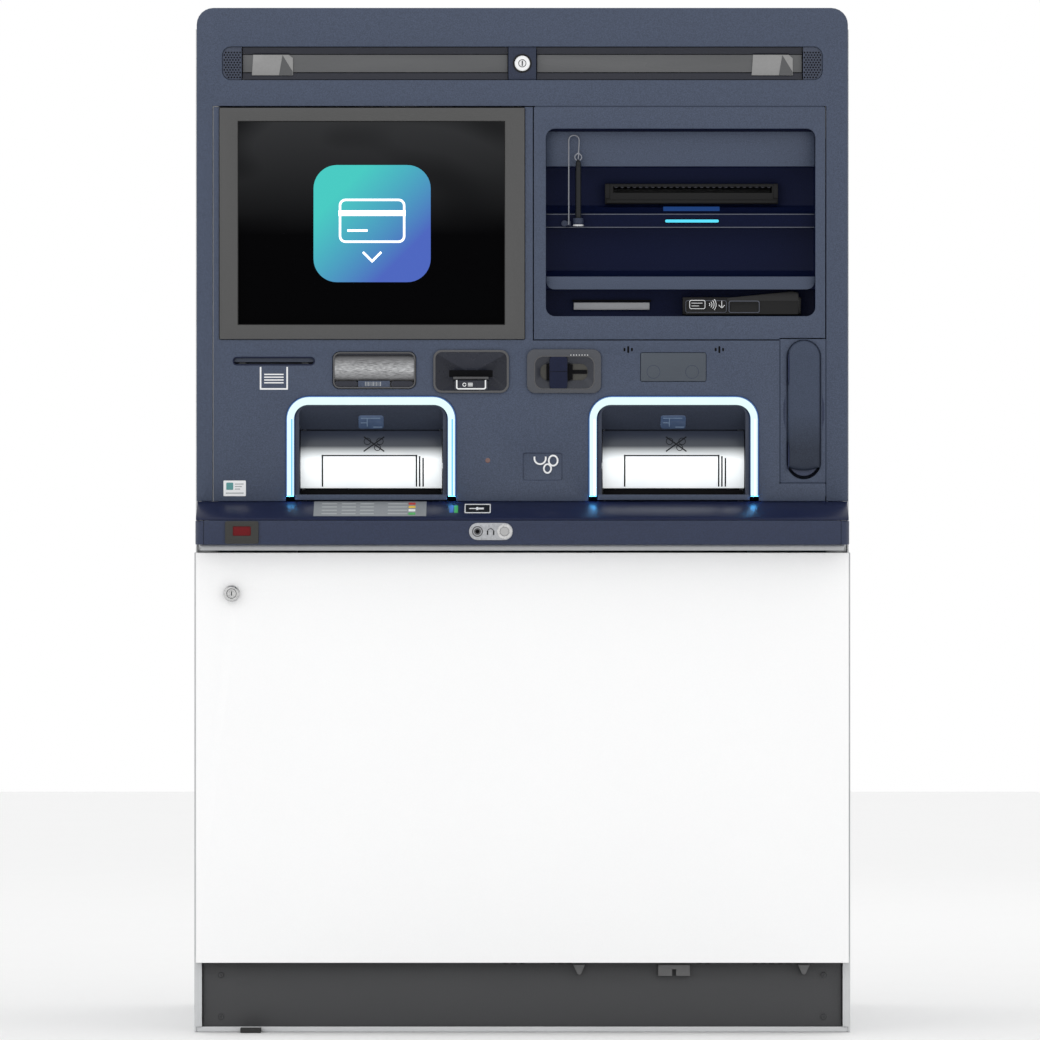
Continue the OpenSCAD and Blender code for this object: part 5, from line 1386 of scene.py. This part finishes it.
class FASCIA_OT_coin_plate(bpy.types.Operator):
    """Adds the recessed coin plate's marks and the presence sensor"""

    bl_idname = "machine.coin_plate"
    bl_label = "Coin plate"

    def execute(self, context):
        x0, z0 = 0.9, Extent("main_panel").z0 + 29.8
        plane = FACE_Y + 2
        bm = bmesh.new()
        rim(bm, (x0, x0 + 56.3), (z0, z0 + 39.4), (0, 0.8), (3, 2.4), (plane - 0.3, plane + 0.2))
        piece("coin_plate_edge", bm, "fascia", "bumper_plastic")
        bm = bmesh.new()
        lines(bm, arc_points(x0 + 24.6, z0 + 31.5, 8.2, 170, 370, 14), 2.4, plane - 1.2)
        for cx, cz, rx, rz in ((43.4, 28.4, 6.4, 7.3), (35.2, 17, 5.2, 6.3)):
            points = [(x0 + cx + rx * math.cos(math.radians(a)), z0 + cz + rz * math.sin(math.radians(a)))
                      for a in range(0, 360, 20)]
            lines(bm, points, 2.4, plane - 1.2 - rx * 0.02, closed=True)
        piece("coin_mark", bm, "fascia", "white_ink")
        bm = bmesh.new()
        turned(bm, [(0, FACE_Y - 0.4), (3.0, FACE_Y - 0.4), (3.7, FACE_Y + 0.1), (3.7, FACE_Y + 1), (0, FACE_Y + 1)],
               (-49.5, z0 + 28.6), steps=24)
        piece("presence_sensor", bm, "fascia", "sensor_brown")
        return {"FINISHED"}


def shelf_height(y):
    """Height of the sloping shelf's top at a depth."""
    drop = 22
    back, front = (FACE_Y, SHELF.z1), (BUMPER.y0 + 8, SHELF.z1 - drop)
    return back[1] + (front[1] - back[1]) * (y - back[0]) / (front[0] - back[0])


class FASCIA_OT_labels(bpy.types.Operator):
    """Lays the plain labels on the shelf and on the fascia"""

    bl_idname = "machine.labels"
    bl_label = "Labels"

    def execute(self, context):
        self.guide_plate()
        self.small_marks()
        self.sticker()
        return {"FINISHED"}

    def on_shelf(self, bm, x, depth, lift, thick):
        """A thin slab that lies on the slope. depth is a span in Y."""
        a, b = depth
        prism(bm, [(a, shelf_height(a) + lift), (b, shelf_height(b) + lift),
                   (b, shelf_height(b) + lift + thick), (a, shelf_height(a) + lift + thick)], x, along="X")

    def guide_plate(self):
        """A plate with four rows of printed lines, each with a coloured key at its end."""
        x0, x1 = -298.3, -137.2
        near, far = BUMPER.y0 + 9.5, FACE_Y - 1.5
        bm = bmesh.new()
        self.on_shelf(bm, (x0, x1), (near, far), 0, 0.5)
        piece("guide_plate", bm, "fascia", "label_film")
        rows = [near + (far - near) * share for share in (0.16, 0.39, 0.62, 0.84)]
        columns = ((11.4, 33), (40, 60), (66.3, 86), (106, 134))
        bm = bmesh.new()
        for left, right in columns:
            for a in rows:
                self.on_shelf(bm, (x0 + left, x0 + right), (a - 1.9, a + 1.9), 0.5, 0.2)
        piece("guide_plate_lines", bm, "fascia", "pale_line")
        for i, name in enumerate(("ink_green", "white_ink", "ink_yellow", "ink_red")):
            bm = bmesh.new()
            self.on_shelf(bm, (x0 + 135.6, x0 + 145.4), (rows[i] - 4.2, rows[i] + 4.2), 0.5, 0.25)
            piece(f"guide_plate_key_{i + 1}", bm, "fascia", name)

    def small_marks(self):
        """A card label with a printed frame and key, and two small tags beside it."""
        near, far = BUMPER.y0 + 22, FACE_Y - 12
        x0, x1, edge = -82.6, -45.2, 1.4
        bm = bmesh.new()
        self.on_shelf(bm, (x0, x1), (near, far), 0, 0.4)
        piece("shelf_card_label", bm, "fascia", "dark_ink")
        bm = bmesh.new()
        for x in ((x0, x0 + edge), (x1 - edge, x1)):
            self.on_shelf(bm, x, (near, far), 0.4, 0.2)
        for a in (near, far - 3.2):
            self.on_shelf(bm, (x0, x1), (a, a + 3.2), 0.4, 0.2)
        middle = (near + far) / 2
        for x, reach in (((-76, -66), 1.8), ((-66, -63), 6), ((-63, -55), 3.4)):
            self.on_shelf(bm, x, (middle - reach, middle + reach), 0.4, 0.2)
        piece("shelf_card_marks", bm, "fascia", "white_ink")
        for x, name in ((-104, "ink_blue"), (-97.5, "ink_green")):
            bm = bmesh.new()
            self.on_shelf(bm, (x, x + 5.5), (near + 2, far - 6), 0, 0.4)
            piece("shelf_tag_" + name[4:], bm, "fascia", name)

    def sticker(self):
        """A plain two-colour sticker at the lower left of the fascia."""
        x0, x1 = -428.5, -396.4
        z0, z1 = SHELF.z1 + 7.6, SHELF.z1 + 30
        bm = bmesh.new()
        prism(bm, round_outline(x0, x1, z0, z1, 1.2, 3), (FACE_Y - 0.25, FACE_Y + 0.1))
        piece("sticker", bm, "fascia", "white_ink")
        bm = bmesh.new()
        prism(bm, round_outline(x0 + 4, x0 + 14, z0 + 9, z1 - 3, 1, 2), (FACE_Y - 0.45, FACE_Y - 0.2))
        piece("sticker_block", bm, "fascia", "sticker_teal")
        bm = bmesh.new()
        for i in range(3):
            line(bm, (x0 + 17, z1 - 5 - i * 3.6), (x1 - 4 - 2.5 * i, z1 - 5 - i * 3.6), 1.4, FACE_Y - 0.2)
        line(bm, (x0 + 4, z0 + 4.4), (x1 - 4, z0 + 4.4), 1.6, FACE_Y - 0.2)
        piece("sticker_lines", bm, "fascia", "pale_line")


class FASCIA_OT_bumper_trim(bpy.types.Operator):
    """Adds the scanner window, the audio plate and the volume button on the bumper"""

    bl_idname = "machine.bumper_trim"
    bl_label = "Bumper trim"

    def execute(self, context):
        face = BUMPER.y0
        nose = Extent("volume_button").y0
        self.scanner(face, nose)
        self.audio(face, nose)
        self.ends(face)
        return {"FINISHED"}

    def scanner(self, face, nose):
        """The scanner window at the bumper's left end, in its frame."""
        x0, x1 = -424.0, -376.3
        z0, z1 = BUMPER.z0 + 1.2, BUMPER.z0 + 33.6
        bm = bmesh.new()
        frame_ring(bm, round_outline(x0, x1, z0, z1, 2.5), round_outline(x0 + 11, x1 - 11, z0 + 11.5, z1 - 7.5, 1.5),
                   nose + 0.4, face + 1, soft=0.5)
        piece("scanner_frame", bm, "fascia", "scanner_frame_grey")
        bm = bmesh.new()
        block(bm, (x0 + 10, x1 - 10), (face - 1.4, face + 0.6), (z0 + 10.5, z1 - 6.5), soft=0.3)
        piece("scanner_window", bm, "fascia", "red_window")

    def audio(self, face, nose):
        """The audio plate with its jack and mark, and the volume button."""
        plate = Extent("audio_plate")
        button = Extent("volume_button")
        mid = plate.z
        refined("audio_plate", 0.4, "audio_grey", "audio_plate_face", angle=0.6)
        jack = plate.x0 + 12.1
        bm = bmesh.new()
        ring(bm, (jack, mid), 7.7, 6.2, plate.y0 - 0.6, plate.y0 + 0.4)
        ring(bm, (jack, mid), 4.8, 2.9, plate.y0 - 0.9, plate.y0 + 0.6)
        piece("audio_jack", bm, "fascia", "smoke_rim")
        bm = bmesh.new()
        rod(bm, (jack, mid), "Y", 2.9, plate.y0 + 0.3, face + 0.8, steps=24)
        piece("audio_jack_hole", bm, "fascia", "gap_black")
        bm = bmesh.new()
        cx, cz, plane = plate.x0 + 30.9, mid - 0.6, plate.y0 + 0.02
        lines(bm, arc_points(cx, cz, 4.6, 10, 170, 9), 1.0, plane)
        for x in (cx - 4.4, cx + 4.4):
            line(bm, (x, cz - 3.2), (x, cz + 0.6), 2.0, plane)
        piece("audio_mark", bm, "fascia", "dark_ink")
        bm = bmesh.new()
        bx = button.x
        ring(bm, (bx, mid), 10.4, 6.9, plate.y0 - 0.7, plate.y0 + 0.4)
        piece("volume_button_collar", bm, "fascia", "nickel")
        bm = bmesh.new()
        turned(bm, [(0, face + 8), (0, nose + 0.5), (3.4, nose + 0.25), (5.3, nose), (6.2, nose + 0.7),
                    (6.2, face + 5.5), (9.2, face + 5.5), (9.2, face + 8)], (bx, mid))
        piece("volume_button_cap", bm, "volume_button", "button_grey", replaces=("volume_button",))

    def ends(self, face):
        """A darker groove near each end of the bumper, where its end cap starts."""
        bm = bmesh.new()
        for side in (-1, 1):
            x = side * (HALF - 12.5)
            block(bm, (x - 0.7, x + 0.7), (face + 1.0, BUMPER.y1), (BUMPER.z0 + 0.5, BUMPER.z1 + 0.15))
        piece("bumper_end_grooves", bm, "fascia", "gap_black")


# ---- Lower door, plinth and cabinet ----


class CABINET_OT_lower_door(bpy.types.Operator):
    """Finishes the lower door, its lock and its hinges"""

    bl_idname = "machine.lower_door"
    bl_label = "Lower door"

    def execute(self, context):
        refined("lower_door", 0.9, "white_steel", segments=3)
        box = Extent("lower_door_lock")
        x, z = box.x, box.z1 - 11.8
        bm = bmesh.new()
        turned(bm, [(0, DOOR.y0 + 11), (0, box.y0 + 0.7), (4.2, box.y0 + 0.7), (4.6, box.y0), (9.6, box.y0),
                    (11.4, box.y0 + 1.6), (11.8, box.y0 + 3.4), (11.8, DOOR.y0 - 0.4), (9, DOOR.y0 - 0.4),
                    (9, DOOR.y0 + 11)], (x, z))
        block(bm, (x - 7, x + 7), (box.y1 - 3, box.y1), (box.z0, z + 7), corner=3, soft=0.4)
        piece("lower_door_lock_plug", bm, "lower_door_lock", "nickel", replaces=("lower_door_lock",))
        bm = bmesh.new()
        ring(bm, (x, z), 7.2, 6.4, box.y0 - 0.08, box.y0 + 0.5)
        block(bm, (x - 0.7, x + 0.7), (box.y0 + 0.4, box.y0 + 1.2), (z - 3, z + 3))
        piece("lower_door_keyway", bm, "lower_door_lock", "dark_ink")
        for node in ("lower_door_hinges", "safe_hinges", "fascia_hinges"):
            paint(node, "bare_steel")
        bm = bmesh.new()
        strip = 4.0
        depth = (DOOR.y1 - 3, DOOR.y1 - 0.5)
        for z in (DOOR.z0 + 12, DOOR.z1 - 16):
            block(bm, (DOOR.x0 + 8, DOOR.x1 - 30), depth, (z, z + strip), soft=0.8)
        block(bm, (DOOR.x0 + 8, DOOR.x0 + 8 + strip), depth, (DOOR.z0 + 16, DOOR.z1 - 16), soft=0.8)
        piece("lower_door_seal", bm, "lower_door", "rubber")
        return {"FINISHED"}


class CABINET_OT_plinth(bpy.types.Operator):
    """Finishes the plinth, base plate, stop bracket, tongues and foot block"""

    bl_idname = "machine.plinth"
    bl_label = "Plinth"

    def execute(self, context):
        refined("plinth", 1.0)
        refined("base_plate", 0.8)
        refined("foot_block", 0.6, "rubber")
        refined("door_catches", 0.6, "grey_plastic")
        bm = bmesh.new()
        pitch, wide = 12, 7
        for start, count in ((-28, 3), (40, 3), (330, 6), (250, 2)):
            for x in range(start, start + count * pitch, pitch):
                block(bm, (x, x + wide), (PLINTH.y0 - 0.3, PLINTH.y0 + 1), (PLINTH.z1 - 2.6, PLINTH.z1 - 1.2))
        piece("plinth_vents", bm, "cabinet", "gap_black")
        bm = bmesh.new()
        for x in (PLINTH.x0 + 26, PLINTH.x1 - 26):
            for z in (PLINTH.z0 + 14, PLINTH.z1 - 18):
                screw_head(bm, (x, z), "Y", PLINTH.y0, -1, 4.2)
        piece("plinth_screws", bm, "cabinet", "plinth_steel")
        return {"FINISHED"}


def screw_head(bm, at, along, face, outward, radius):
    """A low domed head with a socket. outward is -1 where the head faces down its axis."""
    rim, crown = face + outward * radius * 0.2, face + outward * radius * 0.5
    inside = face - outward * 0.6
    profile = [(0, inside), (radius, inside), (radius, rim), (radius * 0.75, crown), (radius * 0.42, crown),
               (radius * 0.42, rim), (0, rim)]
    turned(bm, profile, at, along, steps=16)


class CABINET_OT_panels(bpy.types.Operator):
    """Finishes the cabinet's sides, top, rear and frame with their screws, seams and cable gland"""

    bl_idname = "machine.panels"
    bl_label = "Cabinet panels"

    def execute(self, context):
        for node in ("left_side_panel", "right_side_panel", "top_panel", "rear_panel"):
            refined(node, 0.7)
        refined("upper_frame", 0.8)
        refined("equipment_deck", 0.6)
        self.sides()
        self.rear()
        self.top()
        return {"FINISHED"}

    def sides(self):
        for side, node in ((-1, "left_side_panel"), (1, "right_side_panel")):
            box = Extent(node)
            face = box.x0 if side < 0 else box.x1
            bm = bmesh.new()
            block(bm, sorted((face, face - side * 0.6)), (HEADER.y1 + 18, box.y1 - 1), SPLIT)
            piece(f"{node}_seam", bm, "cabinet", "gap_black")
            bm = bmesh.new()
            for y in (-250, 20, 290):
                for z in (140, 640, 760, 1400):
                    screw_head(bm, (y, z), "X", face - side * SCREW_SEAT, side, SCREW_R)
            piece(f"{node}_screws", bm, "cabinet", "bare_steel")

    def rear(self):
        box = Extent("rear_panel")
        mount = next(m for m in frame["record"]["mounts"] if m["name"] == "cable_inlet")
        x, z = mount["pos_m"][0] / MM, mount["pos_m"][2] / MM
        r = mount["dims"]["r_mm"]
        bm = bmesh.new()
        turned(bm, [(r - 4, box.y0 - 5), (r, box.y0 - 5), (r, box.y0 + 0.2), (r, box.y1 - 0.3), (r - 2, box.y1),
                    (r - 4, box.y1 - 0.3)], (x, z))
        piece("cable_inlet_grommet", bm, "cabinet", "rubber")
        bm = bmesh.new()
        for px in (box.x0 + 16, -150, 150, box.x1 - 16):
            for pz in (30, 380, 702, 1060, 1420):
                screw_head(bm, (px, pz), "Y", box.y1 - SCREW_SEAT, 1, SCREW_R)
        piece("rear_panel_screws", bm, "cabinet", "bare_steel")
        bm = bmesh.new()
        block(bm, (box.x0 + 2, box.x1 - 2), (box.y1 - 0.5, box.y1), SPLIT)
        piece("rear_panel_seam", bm, "cabinet", "gap_black")
        bm = bmesh.new()
        block(bm, (-360, -240), (box.y1 - 0.6, box.y1), (760, 830), soft=0.2)
        piece("rear_rating_plate", bm, "cabinet", "label_film")
        bm = bmesh.new()
        rim(bm, (-80, 80), (560, 600), (0, 6), (14, 9), (box.y1 - 1, box.y1), soft=0.3)
        piece("rear_hand_hold", bm, "cabinet", "rubber")

    def top(self):
        box = Extent("top_panel")
        bm = bmesh.new()
        for x in (box.x0 + 20, 0, box.x1 - 20):
            for y in (box.y0 + 24, 60, box.y1 - 24):
                screw_head(bm, (x, y), "Z", box.z1 - 2.0, 1, SCREW_R)
        piece("top_panel_screws", bm, "cabinet", "bare_steel")


class CABINET_OT_safe(bpy.types.Operator):
    """Finishes the safe, its door, handle, bolts, keypad and cassettes"""

    bl_idname = "machine.safe"
    bl_label = "Safe"

    def execute(self, context):
        refined("safe_body", 1.5)
        refined("safe_door", 1.4)
        refined("safe_handle", 1.8, "nickel", segments=3)
        refined("safe_bolts", 1.2)
        refined("cassettes", 1.8)
        self.keypad(Extent("safe_door"), Extent("safe_handle"))
        self.cassettes(Extent("cassettes"))
        return {"FINISHED"}

    def keypad(self, door, handle):
        """The round keypad over the safe's handle."""
        x, z = handle.x, handle.z1 + 90
        y = door.y0
        bm = bmesh.new()
        turned(bm, [(0, y + 1), (30, y + 1), (31, y - 1.2), (27, y - 3.4), (0, y - 3.4)], (x, z))
        piece("safe_keypad_case", bm, "safe_door", "black_plastic")
        bm = bmesh.new()
        for px in (x - 11, x, x + 11):
            for pz in (z + 13, z + 4, z - 5, z - 14):
                block(bm, (px - 4, px + 4), (y - 4.6, y - 3), (pz - 3, pz + 3), corner=1, soft=0.4)
        piece("safe_keypad_keys", bm, "safe_door", "button_grey")

    def cassettes(self, box):
        count, pitch = 4, 142
        for name, material, half, lift, z, soft in (
                ("cassette_latches", "ink_green", 46, 1.2, (box.z1 - 42, box.z1 - 18), 0.6),
                ("cassette_label_holders", "label_film", 40, 0.6, (box.z0 + 40, box.z0 + 80), 0.3)):
            bm = bmesh.new()
            for x in ((i - (count - 1) / 2) * pitch for i in range(count)):
                block(bm, (x - half, x + half), (box.y0 - lift, box.y0 + 1), z, soft=soft)
            piece(name, bm, "cabinet", material)


class CABINET_OT_inner_units(bpy.types.Operator):
    """Finishes the note heads, computer and power supply"""

    bl_idname = "machine.inner_units"
    bl_label = "Inner units"

    def execute(self, context):
        for node in ("left_note_head", "right_note_head", "computer", "power_supply"):
            refined(node, 1.5)
        for name in ("left", "right"):
            box = Extent(name + "_note_head")
            bm = bmesh.new()
            for z in (box.z0 + 60, box.z0 + 150, box.z0 + 215):
                rod(bm, (box.y0 + 22, z), "X", 9, box.x0 + 16, box.x1 - 16, steps=28, soft=0.6)
            piece(f"{name}_note_rollers", bm, "cabinet", "rubber")
            bm = bmesh.new()
            for x in (box.x0 + 6, box.x1 - 14):
                block(bm, (x, x + 8), (box.y0 + 8, box.y0 + 16), (box.z0 + 30, box.z1 - 12), soft=1)
            piece(f"{name}_note_guides", bm, "cabinet", "bare_steel")
            bm = bmesh.new()
            block(bm, (box.x - 40, box.x + 40), (box.y0 + 10, box.y0 + 14), (box.z1 - 40, box.z1 - 18), soft=1)
            piece(f"{name}_note_release", bm, "cabinet", "ink_green")
        pc = Extent("computer")
        bm = bmesh.new()
        for x in (pc.x0 + 20 + i * 22 for i in range(4)):
            block(bm, (x, x + 14), (pc.y0 - 0.6, pc.y0 + 1), (pc.z0 + 12, pc.z0 + 20), soft=0.3)
        piece("computer_ports", bm, "cabinet", "bare_steel")
        supply = Extent("power_supply")
        bm = bmesh.new()
        x, z, reach = supply.x, supply.z0 + 59, 36
        for r in (10, 20, 30):
            ring(bm, (x, z), r + 1.2, r, supply.y0 - 0.6, supply.y0 + 1)
        for dx, dz in ((reach, 0), (0, reach)):
            line(bm, (x - dx, z - dz), (x + dx, z + dz), 2.0, supply.y0 - 0.2, thick=1.0)
        piece("power_supply_guard", bm, "cabinet", "bare_steel")
        return {"FINISHED"}


# ---- Stage ----


class STAGE_OT_build(bpy.types.Operator):
    """Sets the floor, the lights and the camera"""

    bl_idname = "machine.stage"
    bl_label = "Stage"

    def execute(self, context):
        settings = context.scene.stage_settings
        self.floor()
        self.lights(context.scene, settings)
        self.camera(context.scene, settings)
        return {"FINISHED"}

    def floor(self):
        bm = bmesh.new()
        bmesh.ops.create_grid(bm, x_segments=1, y_segments=1, size=12.0)
        bmesh.ops.translate(bm, vec=(0, 0, -0.0005), verts=bm.verts)
        mesh = bpy.data.meshes.new("floor")
        bm.to_mesh(mesh)
        bm.free()
        ground = plain_finish("floor_white", (0.9, 0.9, 0.9), 0.75, speck=0.01, grain=60, relief=0.02, cloud=0.01)
        mesh.materials.append(ground.material)
        made = bpy.data.objects.new("floor", mesh)
        bpy.context.scene.collection.objects.link(made)

    def lights(self, scene, settings):
        world = bpy.data.worlds.new("studio")
        scene.world = world
        world.use_nodes = True
        back = world.node_tree.nodes["Background"]
        back.inputs["Color"].default_value = (1.0, 1.0, 1.0, 1.0)
        back.inputs["Strength"].default_value = settings.sky
        for name, place, aim, size, power in (
                ("key", (-2.6, -4.2, 3.4), (0, -0.3, 0.8), 2.6, settings.key),
                ("fill", (3.2, -4.0, 1.6), (0, -0.3, 0.8), 3.0, settings.key * 0.3),
                ("rear", (1.5, 4.0, 3.2), (0, 0.4, 0.8), 3.0, settings.key * 0.6)):
            data = bpy.data.lights.new(name, "AREA")
            data.size = size
            data.energy = power
            lamp = bpy.data.objects.new(name, data)
            lamp.location = place
            lamp.rotation_euler = (Vector(aim) - Vector(place)).to_track_quat("-Z", "Y").to_euler()
            scene.collection.objects.link(lamp)

    def camera(self, scene, settings):
        data = bpy.data.cameras.new("front")
        data.sensor_width = 36.0
        data.lens = data.sensor_width * settings.distance / settings.view_width
        data.clip_end = 100.0
        eye = bpy.data.objects.new("front", data)
        aside = -0.0033  # the camera stands a touch to the left of the middle
        eye.location = (aside, FACE_Y * MM - settings.distance, settings.view_height)
        eye.rotation_euler = (math.pi / 2, 0, 0)
        scene.collection.objects.link(eye)
        scene.camera = eye
        scene.view_settings.view_transform = "Standard"


class CABINET_OT_remaining(bpy.types.Operator):
    """Gives every CAD node that still shows as it is the finish of its slot"""

    bl_idname = "machine.remaining"
    bl_label = "Remaining nodes"

    def execute(self, context):
        for node, shown in frame["nodes"].items():
            if not shown.data.materials or not shown.data.materials[0].name.endswith("_finish"):
                paint(node)
        return {"FINISHED"}


class VIEW3D_PT_machine(bpy.types.Panel):
    """Lists the steps that build the machine"""

    bl_label = "Cash machine"
    bl_idname = "VIEW3D_PT_machine"
    bl_space_type = "VIEW_3D"
    bl_region_type = "UI"
    bl_category = "Cash machine"

    def draw(self, context):
        for group in (context.scene.machine_colours, context.scene.machine_sizes, context.scene.stage_settings):
            for name in group.__annotations__:
                self.layout.prop(group, name)
        for step in STEPS:
            self.layout.operator(step.bl_idname)


STEPS = (
    FINISH_OT_materials, STAGE_OT_build, FASCIA_OT_pen, FASCIA_OT_shells, FASCIA_OT_header, FASCIA_OT_screen,
    FASCIA_OT_alcove, FASCIA_OT_readers, FASCIA_OT_handset, FASCIA_OT_cash, FASCIA_OT_coin_plate,
    FASCIA_OT_labels, FASCIA_OT_bumper_trim, CABINET_OT_lower_door, CABINET_OT_plinth, CABINET_OT_panels,
    CABINET_OT_safe, CABINET_OT_inner_units, CABINET_OT_remaining)
GROUPS = (("machine_colours", MachineColours), ("machine_sizes", MachineSizes), ("stage_settings", StageSettings))


def register():
    for name, group in GROUPS:
        bpy.utils.register_class(group)
        setattr(bpy.types.Scene, name, bpy.props.PointerProperty(type=group))
    for step in STEPS:
        bpy.utils.register_class(step)
    bpy.utils.register_class(VIEW3D_PT_machine)


def unregister():
    bpy.utils.unregister_class(VIEW3D_PT_machine)
    for step in reversed(STEPS):
        bpy.utils.unregister_class(step)
    for name, group in reversed(GROUPS):
        delattr(bpy.types.Scene, name)
        bpy.utils.unregister_class(group)


def main():
    register()
    for step in STEPS:
        group, name = step.bl_idname.split(".")
        getattr(getattr(bpy.ops, group), name)()


if __name__ == "__main__":
    main()
